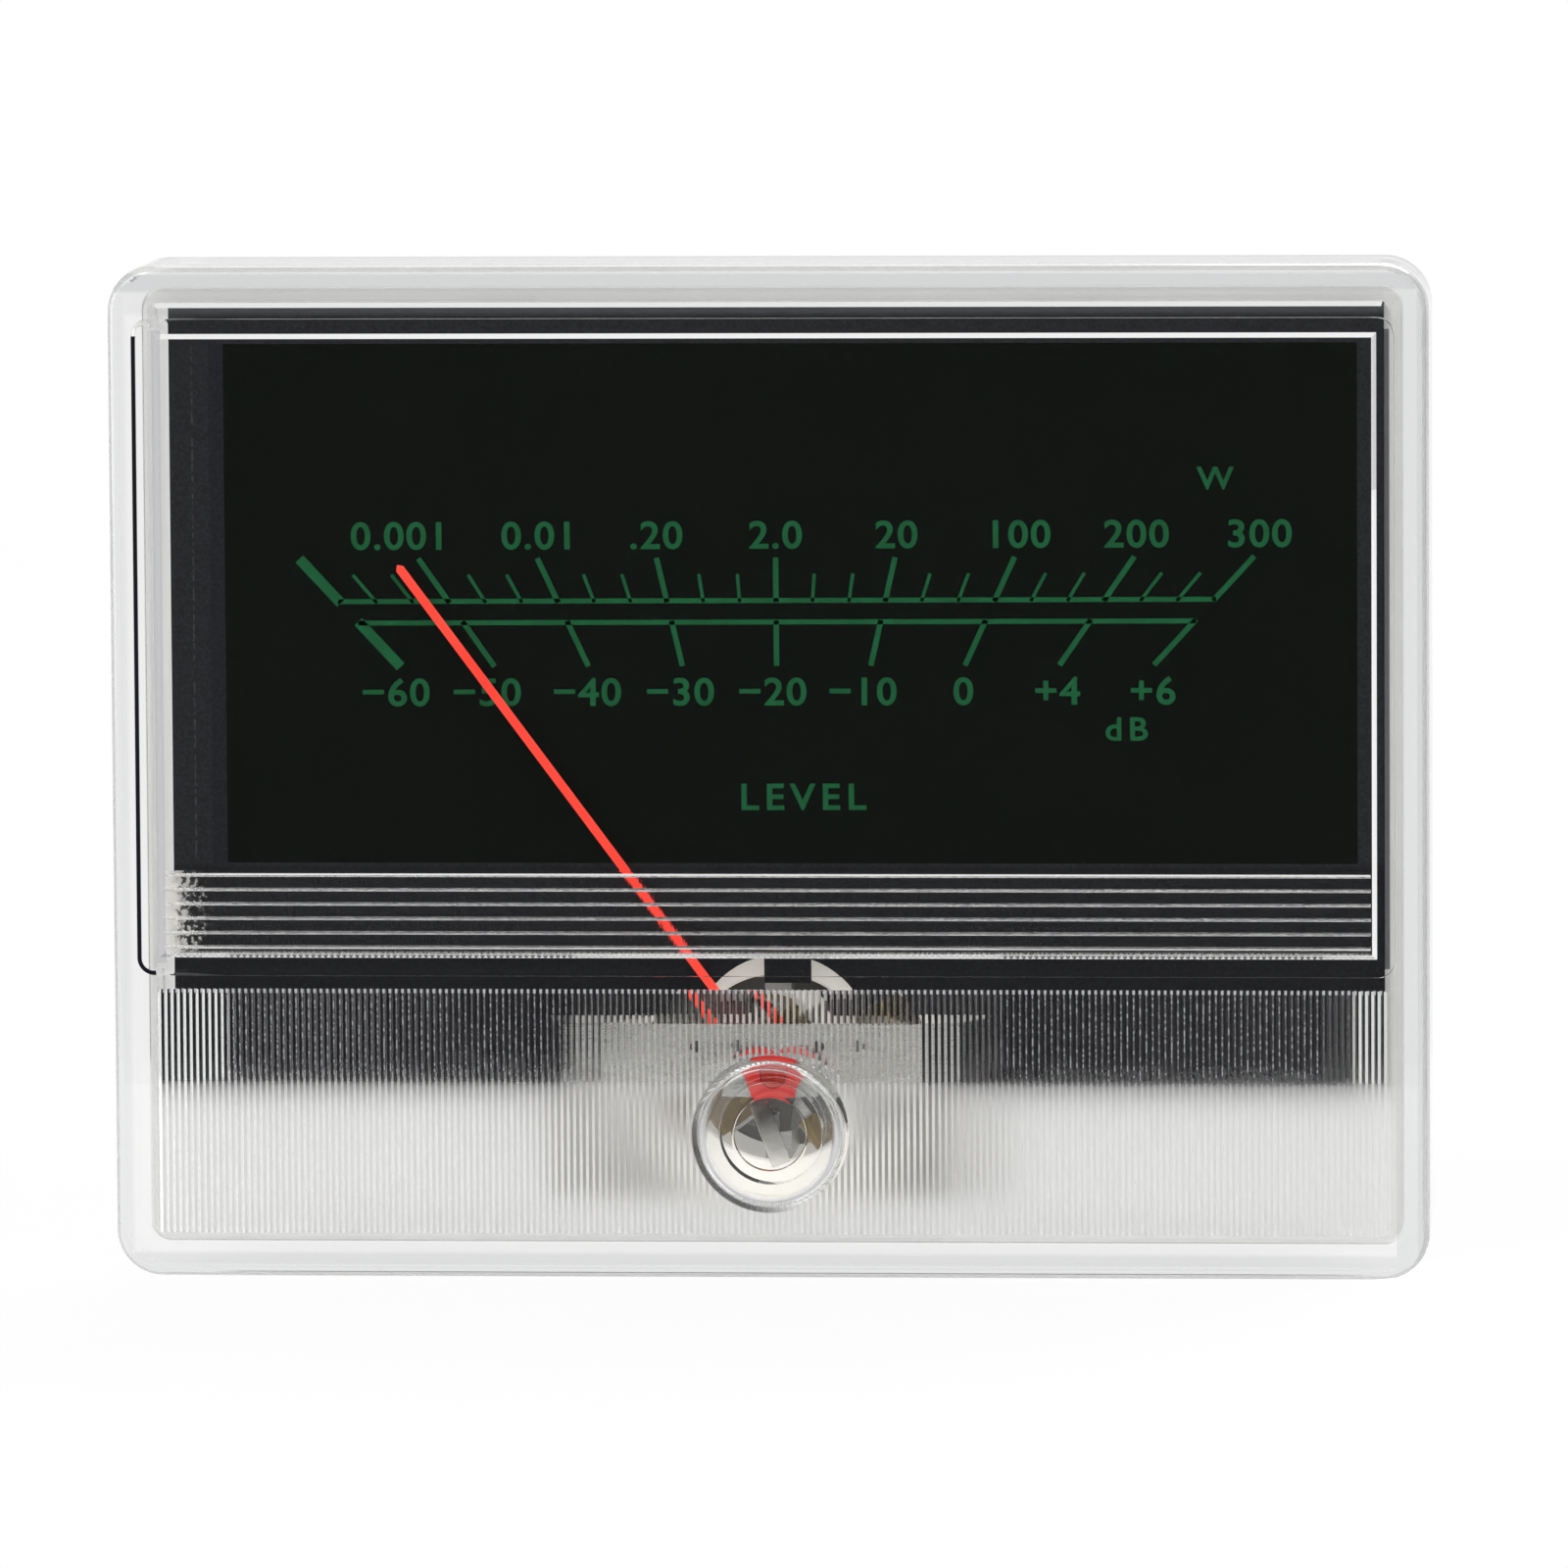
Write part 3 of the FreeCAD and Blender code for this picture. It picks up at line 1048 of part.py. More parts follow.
def make_balance_weights():
    """Wire coils wound on the three arm ends."""
    axis = -size("pivot_drop")
    middle = -size("flange_depth") - size("dial_thickness") - size("pointer_height") \
        - size("pointer_thickness") / 2
    weights = []
    half_arm = size("arm_width") / 2
    reach = {"tail": size("tail_length"), "side": size("side_arm")}
    for kind, direction in (("tail", FreeCAD.Vector(0, 0, -1)), ("side", FreeCAD.Vector(1, 0, 0)),
                            ("side", FreeCAD.Vector(-1, 0, 0))):
        length = size(kind + "_weight_length")
        start = FreeCAD.Vector(0, middle, axis) + direction * (reach[kind] - length)
        sleeve = Part.makeCylinder(size(kind + "_weight_radius"), length, start, direction)
        wide = FreeCAD.Vector(0, 0, 1).cross(direction) if kind == "side" else FreeCAD.Vector(1, 0, 0)
        thick = size("pointer_thickness")
        across = FreeCAD.Vector(abs(direction.z), 0, abs(direction.x))
        low = start - across * half_arm - FreeCAD.Vector(0, thick / 2, 0)
        high = start + direction * length + across * half_arm + FreeCAD.Vector(0, thick / 2, 0)
        corner = FreeCAD.Vector(min(low.x, high.x), low.y, min(low.z, high.z))
        core = Part.makeBox(abs(high.x - low.x), thick, abs(high.z - low.z), corner)
        weights.append(sleeve.cut(core))
    item = doc.addObject("Part::Feature", "weight_set")
    item.Shape = Part.makeCompound(weights)
    return node(turned(item), "balance_weights")


def make_coil():
    axis = "-pivot_drop"
    inner = "(core_radius + coil_gap)"
    mid = "(core_radius + coil_gap + former_wall)"
    outer = "(core_radius + coil_gap + former_wall + winding_thickness)"
    wide = (axis + " - coil_width / 2", axis + " + coil_width / 2")
    narrow = (axis + " - coil_width / 2 + winding_inset", axis + " + coil_width / 2 - winding_inset")
    inner_y = ("-core_front - coil_end_gap", "core_length - core_front + coil_end_gap")
    mid_y = ("-core_front - coil_end_gap - former_wall",
             "core_length - core_front + coil_end_gap + former_wall")
    outer_y = ("-" + coil_front, coil_back)
    hole = block("former_hole", ("-" + inner, inner), inner_y, wide)
    former = cut("former_frame", block("former_block", ("-" + mid, mid), mid_y, wide), hole)
    node(turned(former), "coil_former")
    window = block("winding_hole", ("-" + mid, mid), mid_y, narrow)
    winding = cut("winding_frame", block("winding_block", ("-" + outer, outer), outer_y, narrow), window)
    rounded = doc.addObject("Part::Fillet", "winding_rounded")
    rounded.Base = winding
    doc.recompute()
    reach = winding.Shape.BoundBox.XMax
    corners = [i + 1 for i, e in enumerate(winding.Shape.Edges)
               if abs(abs(e.CenterOfMass.x) - reach) < 1e-6
               and abs(e.Vertexes[0].Z - e.Vertexes[-1].Z) > 1e-6
               and abs(e.CenterOfMass.z + size("pivot_drop")) < 1e-6]
    rounded.Edges = [(i, size("winding_round"), size("winding_round")) for i in corners]
    node(turned(rounded), "coil_winding")
    rear_base = rod("rear_base", "pivot_base", (coil_back, rear_spring_front + " - cup_gap"), z=axis)
    node(turned(group("rear_base_turned", rear_base)), "rear_pivot_base")
    front_tip = front_jewel_back + " - cup_depth + cup_gap"
    rear_tip = rear_jewel_front + " + cup_depth - cup_gap"
    front_pivot = rod("front_pivot", "pivot_radius", (front_tip, "-hub_back"), z=axis)
    rear_pivot = rod("rear_pivot", "pivot_radius", (rear_spring_front + " - cup_gap", rear_tip), z=axis)
    node(turned(group("pivot_pair", front_pivot, rear_pivot)), "pivots")
    collets = []
    for i, span in enumerate((("-hub_front - collet_length", "-hub_front"),
                              (rear_spring_front, rear_spring_back))):
        collets.append(cut("collet_%d" % i, rod("collet_blank_%d" % i, "collet_radius", span, z=axis),
                           rod("collet_bore_%d" % i, "pivot_radius", span, z=axis)))
    node(turned(group("collet_pair", *collets)), "spring_collets")


# -------------------------------------------------------------------- terminals

def make_terminals():
    studs, washers, lugs, nuts = [], [], [], []
    z = "-stud_height"
    inside = "body_depth - back_wall"
    for i, side in enumerate(("-", "")):
        x = side + "stud_spacing / 2"
        washer_y = ("stud_seat", "stud_seat + washer_thickness")
        washers.append(cut("washer_%d" % i, rod("washer_blank_%d" % i, "washer_radius", washer_y, x, z),
                           rod("washer_hole_%d" % i, "shank_radius", washer_y, x, z)))
        lug_y = (washer_y[1], washer_y[1] + " + lug_thickness")
        eye = rod("lug_eye_%d" % i, "washer_radius", lug_y, x, z)
        tail = block("lug_tail_%d" % i, (x + " - lug_width / 2", x + " + lug_width / 2"), lug_y,
                     (z + " - lug_length", z))
        lug_holes = [rod("lug_hole_%d" % i, "shank_radius", lug_y, x, z),
                     rod("lug_wire_hole_%d" % i, "lug_hole", lug_y, x, z + " - lug_length + lug_width / 2")]
        lugs.append(cut("lug_%d" % i, fuse("lug_blank_%d" % i, eye, tail), *lug_holes))
        nut_y = (lug_y[1], lug_y[1] + " + nut_height")
        nuts.append(cut("nut_%d" % i, hexagon("nut_blank_%d" % i, "nut_flats", nut_y, x, z),
                        rod("nut_hole_%d" % i, "shank_radius", nut_y, x, z)))
        step = nut_y[1] + " + shank_stand"
        head = hexagon("stud_head_%d" % i, "stud_head * 2", (inside + " - stud_head_height", inside), x, z)
        shank = rod("stud_shank_%d" % i, "shank_radius", (inside, step), x, z)
        end = rod("stud_end_%d" % i, "stud_radius", (step, "stud_length"), x, z)
        studs.append(fuse("stud_%d" % i, head, shank, end))
    node(group("stud_pair", *studs), "terminal_studs")
    node(group("washer_pair", *washers), "terminal_washers")
    node(group("lug_pair", *lugs), "solder_lugs")
    node(group("nut_pair", *nuts), "terminal_nuts")


make_front_cover()
make_zero_adjuster()
make_rear_case()
make_dial_plate()
make_lighting()
make_magnet_system()
make_front_bridge()
make_rear_bridge()
make_jewel_screws()
make_zero_arm()
make_hairspring("front_hairspring", -size("hub_front") - size("collet_length") + size("run_gap"), -90.0)
make_hairspring("rear_hairspring", size("core_length") - size("core_front") + size("coil_end_gap")
                + size("former_wall") + size("winding_thickness") + size("spring_room"), 90.0)
make_pointer()
make_balance_weights()
make_coil()
make_terminals()

doc.recompute()
faults = [o.Name for o in doc.Objects if "Invalid" in o.State or "Error" in o.State]
faults += [label for label, item in nodes.items() if item.Shape.isNull() or not item.Shape.isValid()]
if faults:
    raise RuntimeError("faulty objects: " + ", ".join(faults))

os.makedirs("parts", exist_ok=True)
for label, item in nodes.items():
    item.Shape.exportStep("parts/%s.step" % label)
    print("%-20s solids %2d  volume %10.3f" % (label, len(item.Shape.Solids), item.Shape.Volume))
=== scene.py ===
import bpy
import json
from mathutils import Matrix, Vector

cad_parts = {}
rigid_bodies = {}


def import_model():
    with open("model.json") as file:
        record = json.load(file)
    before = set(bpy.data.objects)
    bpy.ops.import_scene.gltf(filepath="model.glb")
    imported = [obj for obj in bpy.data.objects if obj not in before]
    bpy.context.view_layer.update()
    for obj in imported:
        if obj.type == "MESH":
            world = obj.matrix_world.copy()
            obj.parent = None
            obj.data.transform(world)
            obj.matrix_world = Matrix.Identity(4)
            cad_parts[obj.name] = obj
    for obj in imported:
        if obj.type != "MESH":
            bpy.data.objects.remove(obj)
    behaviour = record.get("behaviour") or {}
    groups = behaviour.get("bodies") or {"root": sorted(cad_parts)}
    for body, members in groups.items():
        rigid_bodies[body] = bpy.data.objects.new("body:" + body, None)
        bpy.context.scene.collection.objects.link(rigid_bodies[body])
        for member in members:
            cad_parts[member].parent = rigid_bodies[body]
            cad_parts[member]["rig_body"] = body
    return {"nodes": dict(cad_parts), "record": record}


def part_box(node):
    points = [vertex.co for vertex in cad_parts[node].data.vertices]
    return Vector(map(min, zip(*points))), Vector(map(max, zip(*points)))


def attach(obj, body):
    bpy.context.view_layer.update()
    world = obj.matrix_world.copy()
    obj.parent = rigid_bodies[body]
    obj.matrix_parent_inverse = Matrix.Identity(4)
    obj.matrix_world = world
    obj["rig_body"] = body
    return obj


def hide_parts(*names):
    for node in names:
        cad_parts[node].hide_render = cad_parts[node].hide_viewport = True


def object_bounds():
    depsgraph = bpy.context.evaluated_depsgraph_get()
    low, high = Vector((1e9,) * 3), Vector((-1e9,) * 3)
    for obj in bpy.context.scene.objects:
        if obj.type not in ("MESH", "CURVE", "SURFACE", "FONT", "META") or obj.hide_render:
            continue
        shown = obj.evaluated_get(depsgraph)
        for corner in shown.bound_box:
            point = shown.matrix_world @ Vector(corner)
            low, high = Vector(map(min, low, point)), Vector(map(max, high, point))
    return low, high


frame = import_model()
cadBounds = [list(corner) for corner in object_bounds()]

import json
import math

import bmesh
import bpy
from mathutils import Matrix, Vector

mm = 0.001
nodes = frame["nodes"]


# camera and stage

view = {
    "place": (65.992, -893.430, 86.135),
    "right": (0.997343, 0.072644, -0.006115),
    "up": (-0.001018, 0.097769, 0.995211),
    "back": (0.07289, -0.99255, 0.09758),
    "lens": 300.06,
    "sensor": 36.0,
    "farthest": 20.0,
}

stage = {
    "ambient": 0.58,
    "roomAhead": 0.022, "aheadY": (-0.80, -0.45),
    "aheadThrough": 0.35, "throughY": (-0.990, -0.970),
    "roomRight": 0.72, "rightX": (0.3, 0.9),
    "floorWhite": (0.85, 0.87), "floorFibre": 900, "floorRoughness": 0.9, "floorGlow": 0.88,
    "floorX": (-0.75, 0.75), "floorY": (-0.12, 0.62), "floorDrop": 0.06,
}

lamps = [
    # name, place, size, watts
    ("lampTopLeft", (-0.52, -0.62, 0.70), 0.55, 4.8),
    ("lampTopRight", (0.66, -0.44, 0.55), 0.55, 3.6),
    ("lampLeft", (-0.85, -0.12, 0.12), 0.40, 1.5),
    ("lampBack", (0.30, 0.80, 0.70), 0.60, 4.0),
]


def addObject(name, data):
    item = bpy.data.objects.new(name, data)
    bpy.context.scene.collection.objects.link(item)
    return item


def makeCamera():
    data = bpy.data.cameras.new("meterCamera")
    data.lens = view["lens"]
    data.sensor_width = view["sensor"]
    data.sensor_fit = "HORIZONTAL"
    data.clip_end = view["farthest"]
    camera = addObject("meterCamera", data)
    axes = Matrix((view["right"], view["up"], view["back"])).transposed()
    camera.matrix_world = Matrix.Translation(Vector(view["place"]) * mm) @ axes.to_4x4()
    bpy.context.scene.camera = camera


# shading nodes

noiseSpan = (0.3, 0.7)  # where nearly all of a noise's values lie


def inMetres(values):
    return [value * mm for value in values]


def addNode(tree, kind, **settings):
    node = tree.nodes.new("ShaderNode" + kind)
    for name, value in settings.items():
        setattr(node, name, value)
    return node


def addLink(tree, source, target):
    tree.links.new(source, target)


def feed(tree, value, socket):
    # a number, a colour or another node's output into a socket
    if isinstance(value, (int, float)):
        socket.default_value = value
    elif isinstance(value, tuple):
        socket.default_value = (*value, 1)
    else:
        addLink(tree, value, socket)


def mathNode(tree, operation, first, second):
    node = addNode(tree, "Math", operation=operation)
    feed(tree, first, node.inputs[0])
    feed(tree, second, node.inputs[1])
    return node.outputs[0]


def product(tree, first, *others):
    for other in others:
        first = mathNode(tree, "MULTIPLY", first, other)
    return first


def greatest(tree, first, *others):
    for other in others:
        first = mathNode(tree, "MAXIMUM", first, other)
    return first


def rangeNode(tree, value, low, high, outLow=0.0, outHigh=1.0):
    node = addNode(tree, "MapRange", interpolation_type="SMOOTHSTEP")
    for name, number in (("From Min", low), ("From Max", high), ("To Min", outLow), ("To Max", outHigh)):
        node.inputs[name].default_value = number
    addLink(tree, value, node.inputs["Value"])
    return node.outputs[0]


def fromNoise(tree, noise, low, high):
    return rangeNode(tree, noise, *noiseSpan, low, high)


def splitOf(tree, vector):
    split = addNode(tree, "SeparateXYZ")
    addLink(tree, vector, split.inputs[0])
    return split


def objectPlace(tree):
    return addNode(tree, "TexCoord").outputs["Object"]


def colourMix(tree, share, first, second, blend="MIX"):
    # of the node's sockets, 0, 6 and 7 are the share and the two colours, and 2 the result
    mix = addNode(tree, "Mix", data_type="RGBA", blend_type=blend)
    for index, value in ((0, share), (6, first), (7, second)):
        feed(tree, value, mix.inputs[index])
    return mix.outputs[2]


def blendShaders(tree, share, first, second):
    blend = addNode(tree, "MixShader")
    for socket, value in zip(blend.inputs, (share, first, second)):
        addLink(tree, value, socket)
    return blend.outputs[0]


def sharpRays(tree):
    # the ray's kind, and 1 for one that was mirrored or came through clear plastic
    path = addNode(tree, "LightPath")
    return path, greatest(tree, path.outputs["Is Glossy Ray"], path.outputs["Is Transmission Ray"])


def surfaceFrom(tree, surface):
    addLink(tree, surface, tree.nodes["Material Output"].inputs["Surface"])


# world, lamps and floor

def makeWorld():
    # a bright room, darker straight ahead of the meter so that its clear cover doesn't veil the dial
    world = bpy.data.worlds.new("studio")
    world.use_nodes = True
    tree = world.node_tree
    tree.nodes.clear()
    split = splitOf(tree, addNode(tree, "TexCoord").outputs["Generated"])
    path, sharp = sharpRays(tree)
    through = rangeNode(tree, split.outputs["Y"], *stage["throughY"], 0.0, stage["aheadThrough"])
    darkest = greatest(tree, product(tree, path.outputs["Is Transmission Ray"], through), stage["roomAhead"])
    behind = rangeNode(tree, split.outputs["Y"], *stage["aheadY"])
    ahead = product(tree, mathNode(tree, "SUBTRACT", 1.0, behind), darkest)
    room = product(tree, mathNode(tree, "ADD", behind, ahead),
                   rangeNode(tree, split.outputs["X"], *stage["rightX"], 1.0, stage["roomRight"]))
    level = addNode(tree, "Mix")
    level.inputs["A"].default_value = stage["ambient"]
    addLink(tree, sharp, level.inputs["Factor"])
    addLink(tree, room, level.inputs["B"])
    seen = greatest(tree, level.outputs["Result"], path.outputs["Is Camera Ray"])
    background = addNode(tree, "Background")
    background.inputs["Color"].default_value = (1, 1, 1, 1)
    addLink(tree, seen, background.inputs["Strength"])
    addLink(tree, background.outputs[0], addNode(tree, "OutputWorld").inputs["Surface"])
    bpy.context.scene.world = world
    bpy.context.scene.view_settings.view_transform = "Standard"


def makeLamps():
    for name, place, side, watts in lamps:
        data = bpy.data.lights.new(name, "AREA")
        data.shape = "SQUARE"
        data.size = side
        data.energy = watts
        lamp = addObject(name, data)
        lamp.location = place
        lamp.rotation_euler = (-Vector(place)).to_track_quat("-Z", "Y").to_euler()


def makeFloor():
    material = bpy.data.materials.new("palePaper")
    material.use_nodes = True
    tree = material.node_tree
    paper = tree.nodes["Principled BSDF"]
    paper.inputs["Roughness"].default_value = stage["floorRoughness"]
    fibre = addNode(tree, "TexNoise")
    fibre.inputs["Scale"].default_value = stage["floorFibre"]
    addLink(tree, objectPlace(tree), fibre.inputs["Vector"])
    addLink(tree, fromNoise(tree, fibre.outputs["Fac"], *stage["floorWhite"]), paper.inputs["Base Color"])
    path, sharp = sharpRays(tree)
    share = product(tree, greatest(tree, sharp, path.outputs["Is Camera Ray"]), stage["floorGlow"])
    surfaceFrom(tree, blendShaders(tree, share, paper.outputs[0], addNode(tree, "Emission").outputs[0]))

    bm = bmesh.new()
    bmesh.ops.create_grid(bm, x_segments=8, y_segments=8, size=0.5)
    (left, right), (front, back) = stage["floorX"], stage["floorY"]
    bmesh.ops.scale(bm, verts=bm.verts, vec=(right - left, back - front, 1))
    level = cadBounds[0][2] - stage["floorDrop"] * mm
    bmesh.ops.translate(bm, verts=bm.verts, vec=((left + right) / 2, (front + back) / 2, level))
    mesh = bpy.data.meshes.new("floorSheet")
    bm.to_mesh(mesh)
    bm.free()
    mesh.materials.append(material)
    floor = addObject("floorSheet", mesh)


makeCamera()
makeWorld()
makeLamps()
makeFloor()
print("stage ready")


# shared finishes

def makeGroup(name, inputs, outputs):
    group = bpy.data.node_groups.new(name, "ShaderNodeTree")
    for label, kind, value in inputs:
        socket = group.interface.new_socket(name=label, in_out="INPUT", socket_type=kind)
        socket.default_value = value
    for label, kind in outputs:
        group.interface.new_socket(name=label, in_out="OUTPUT", socket_type=kind)
    entry = group.nodes.new("NodeGroupInput")
    leave = group.nodes.new("NodeGroupOutput")
    return group, entry, leave


def noiseIn(tree, place, size, detail=3.0, stretch=None):
    # size is the pattern's feature size in mm, a number or a socket
    if stretch:
        mapping = addNode(tree, "Mapping")
        mapping.inputs["Scale"].default_value = stretch
        addLink(tree, place, mapping.inputs["Vector"])
        place = mapping.outputs[0]
    noise = addNode(tree, "TexNoise")
    noise.inputs["Detail"].default_value = detail
    addLink(tree, place, noise.inputs["Vector"])
    if isinstance(size, (int, float)):
        noise.inputs["Scale"].default_value = 1 / mm / size
    else:
        addLink(tree, mathNode(tree, "DIVIDE", 1 / mm, size), noise.inputs["Scale"])
    return noise.outputs["Fac"]


texture = {
    "grainDetail": 4.0, "cloudDetail": 2.0, "cloudSpan": (0.32, 0.68), "lineDetail": 2.0,
    "mouldedRough": (-0.05, 0.05), "metalRough": (-0.06, 0.08),
}


def makeGrainGroup():
    group, entry, leave = makeGroup(
        "mouldedGrain",
        [("Grain mm", "NodeSocketFloat", 0.3), ("Cloud mm", "NodeSocketFloat", 8.0)],
        [("Height", "NodeSocketFloat"), ("Cloud", "NodeSocketFloat")])
    place = objectPlace(group)
    fine = noiseIn(group, place, entry.outputs["Grain mm"], texture["grainDetail"])
    cloud = noiseIn(group, place, entry.outputs["Cloud mm"], texture["cloudDetail"])
    addLink(group, fine, leave.inputs["Height"])
    addLink(group, rangeNode(group, cloud, *texture["cloudSpan"]), leave.inputs["Cloud"])
    return group


def makeDrawnGroup():
    group, entry, leave = makeGroup(
        "drawnLines",
        [("Line mm", "NodeSocketFloat", 0.08), ("Run", "NodeSocketVector", (1.0, 1.0, 0.04))],
        [("Height", "NodeSocketFloat"), ("Tone", "NodeSocketFloat")])
    stretched = addNode(group, "VectorMath", operation="MULTIPLY")
    addLink(group, objectPlace(group), stretched.inputs[0])
    addLink(group, entry.outputs["Run"], stretched.inputs[1])
    lines = noiseIn(group, stretched.outputs[0], entry.outputs["Line mm"], texture["lineDetail"])
    addLink(group, lines, leave.inputs["Height"])
    addLink(group, rangeNode(group, lines, *noiseSpan), leave.inputs["Tone"])
    return group


grainGroup = makeGrainGroup()
drawnGroup = makeDrawnGroup()


def startMaterial(name, settings):
    material = bpy.data.materials.new(name)
    material.use_nodes = True
    tree = material.node_tree
    shader = tree.nodes["Principled BSDF"]
    for socket, value in settings.items():
        shader.inputs[socket].default_value = value
    return material, tree, shader


def placeGroup(tree, group, values):
    node = addNode(tree, "Group", node_tree=group)
    for socket, value in values.items():
        node.inputs[socket].default_value = value
    return node


def bumpInto(tree, shader, height, distance):
    bump = addNode(tree, "Bump")
    bump.inputs["Distance"].default_value = distance * mm
    addLink(tree, height, bump.inputs["Height"])
    addLink(tree, bump.outputs[0], shader.inputs["Normal"])


def mouldedMaterial(name, first, second, roughness, grain=0.25, relief=0.01, cloud=9.0, **more):
    # plastic, lacquer and paint: cloudy tone, fine grain
    material, tree, shader = startMaterial(name, {"IOR": 1.5, **more})
    group = placeGroup(tree, grainGroup, {"Grain mm": grain, "Cloud mm": cloud})
    addLink(tree, colourMix(tree, group.outputs["Cloud"], first, second), shader.inputs["Base Color"])
    low, high = [roughness + change for change in texture["mouldedRough"]]
    addLink(tree, fromNoise(tree, group.outputs["Height"], low, high), shader.inputs["Roughness"])
    bumpInto(tree, shader, group.outputs["Height"], relief)
    return material


def metalMaterial(name, first, second, roughness, line=0.08, run=(1.0, 1.0, 0.05), relief=0.004, **more):
    # turned, drawn and brushed metal
    material, tree, shader = startMaterial(name, {"Metallic": 1.0, **more})
    group = placeGroup(tree, drawnGroup, {"Line mm": line, "Run": run})
    addLink(tree, colourMix(tree, group.outputs["Tone"], first, second), shader.inputs["Base Color"])
    low, high = [roughness + change for change in texture["metalRough"]]
    addLink(tree, fromNoise(tree, group.outputs["Height"], low, high), shader.inputs["Roughness"])
    bumpInto(tree, shader, group.outputs["Height"], relief)
    return material


def boxMask(tree, split, bounds, edge=0.15):
    # 1 inside a box given in mm as (x, x, y, y, z, z)
    sides = []
    for axis, low, high in zip("XYZ", bounds[0::2], bounds[1::2]):
        rising = rangeNode(tree, split.outputs[axis], low * mm, (low + edge) * mm)
        falling = rangeNode(tree, split.outputs[axis], high * mm, (high - edge) * mm)
        sides.append(product(tree, rising, falling))
    return product(tree, *sides)


def aroundAxis(tree, split, x, z):
    # the place and the distance from an axis along Y
    flat = addNode(tree, "CombineXYZ")
    addLink(tree, mathNode(tree, "SUBTRACT", split.outputs["X"], x * mm), flat.inputs["X"])
    addLink(tree, mathNode(tree, "SUBTRACT", split.outputs["Z"], z * mm), flat.inputs["Z"])
    away = addNode(tree, "VectorMath", operation="LENGTH")
    addLink(tree, flat.outputs[0], away.inputs[0])
    return flat.outputs[0], away.outputs["Value"]


frosted = {
    "streak": 0.16, "streakRun": (1.0, 1.0, 0.35), "speck": 0.30,
    "lineField": (-41.55, 41.1, -8.8, -8.25, -12.75, -6.73), "lineRough": (0.04, 0.14),
    "ribField": (-42.2, 42.2, -8.35, -7.75, -32.2, -14.9), "ribRough": (0.02, 0.06), "ribRelief": 0.25,
    "lowerRibs": (-20.7, -21.9), "lowerRough": 0.42,
    "sideField": (-42.7, -41.5, -8.65, -1.9, -13.6, 30.4), "sideRough": 0.40, "sideEdge": 0.03,
    "bossX": 0.0, "bossZ": -24.8, "bossRadius": 5.25, "bossEdge": 0.1,
    # where the lines fade they are rougher and get painted light, a pale tint for light scattered near the left
    # wall and the foot
    "leftFade": (-41.5, -38.9), "fadeRagged": 2.2, "footFade": (-12.75, -12.2), "fadeRough": 0.7,
    "fadeStreaks": (0.35, 0.6, 0.5, 1.0), "paintedFadeLight": (0.80, 0.785, 0.74), "fadeShare": 0.70,
    "fineRelief": 0.06, "relief": 0.014,
}

# painted shade on the clear cover, standing in for its refraction: dark pad edges, the dark lower left of the well,
# a grey left window wall and a greyer rim
edgeShade = {
    "tint": (0.010, 0.010, 0.014),
    "padEdge": (-43.4, -42.0, -10.392, -10.0, -13.96, 29.9), "padBlur": 0.008,
    "rightEdge": (41.90, 42.36, -10.42, -10.3, -13.3, 30.3), "sideBlur": 0.03,
    "wellRing": (4.92, 5.42), "wellBlur": 0.12, "wellFront": -9.3, "frontBlur": 0.1,
    "wellToward": (-0.80, 0.0, -0.60), "wellSpan": (1.2, 4.4), "wellShare": 0.8,
    "windowLeft": (-42.1, -41.45, -8.62, -7.9, -13.2, 30.2), "paintedWindowLeftShade": (0.52, 0.52, 0.54),
    "paintedMarginShade": (0.30, 0.31, 0.33), "marginFront": (-9.2, -8.9),
    # low, high, share at low, share at high
    "marginX": ((42.70, 42.85, 0.0, 0.21), (44.10, 44.35, 0.0, 0.15), (-44.0, -43.5, 0.15, 0.0)),
    "marginZ": ((31.10, 31.60, 0.0, 0.12), (32.7, 33.1, 0.0, 0.25), (34.0, 34.25, 0.0, -0.37),
                (-33.2, -32.8, 0.19, 0.0)),
}

# painted shade on the prisms' facets and painted highlights on their crests and tips
prisms = {
    "first": -42.1, "step": 84.2 / 195,
    "zones": ((-37.9, -37.0, -14.0, -13.2), (15.4, 16.0, 37.3, 38.2)),
    "foot": (-21.0, -20.3), "ragged": 1.4,
    "shadeTint": (0.012, 0.012, 0.016), "shadeShare": 0.60,
    "crest": (0.06, 0.17), "paintedCrestLight": (0.52, 0.52, 0.54), "crestShare": 0.50, "dots": (0.47, 0.60, 0.25, 1.0),
    "tips": (-15.3, -14.93), "tipBlur": (0.08, 0.02), "tipCrest": (0.14, 0.27), "tipShare": 0.85,
}

satinSlot = {
    "field": (-2.4, 2.4, -9.29, -9.2, -27.2, -22.4), "fieldEdge": 0.01,
    "speck": 0.2, "rough": (0.35, 0.6), "fineRelief": 0.1, "relief": 0.012,
    # painted pale grey on the lower part of the knob's rim, standing in for its refraction
    "rimInner": 4.22, "rimBlur": 0.3, "rimFront": -9.25, "frontBlur": 0.1,
    "rimBelow": (-26.3, -21.3), "rimShare": 0.72, "paintedRimTone": (0.80, 0.80, 0.82),
}


def raggedPlace(tree, place, speck, width):
    shift = fromNoise(tree, speck, -width / 2 * mm, width / 2 * mm)
    return mathNode(tree, "ADD", place, shift)


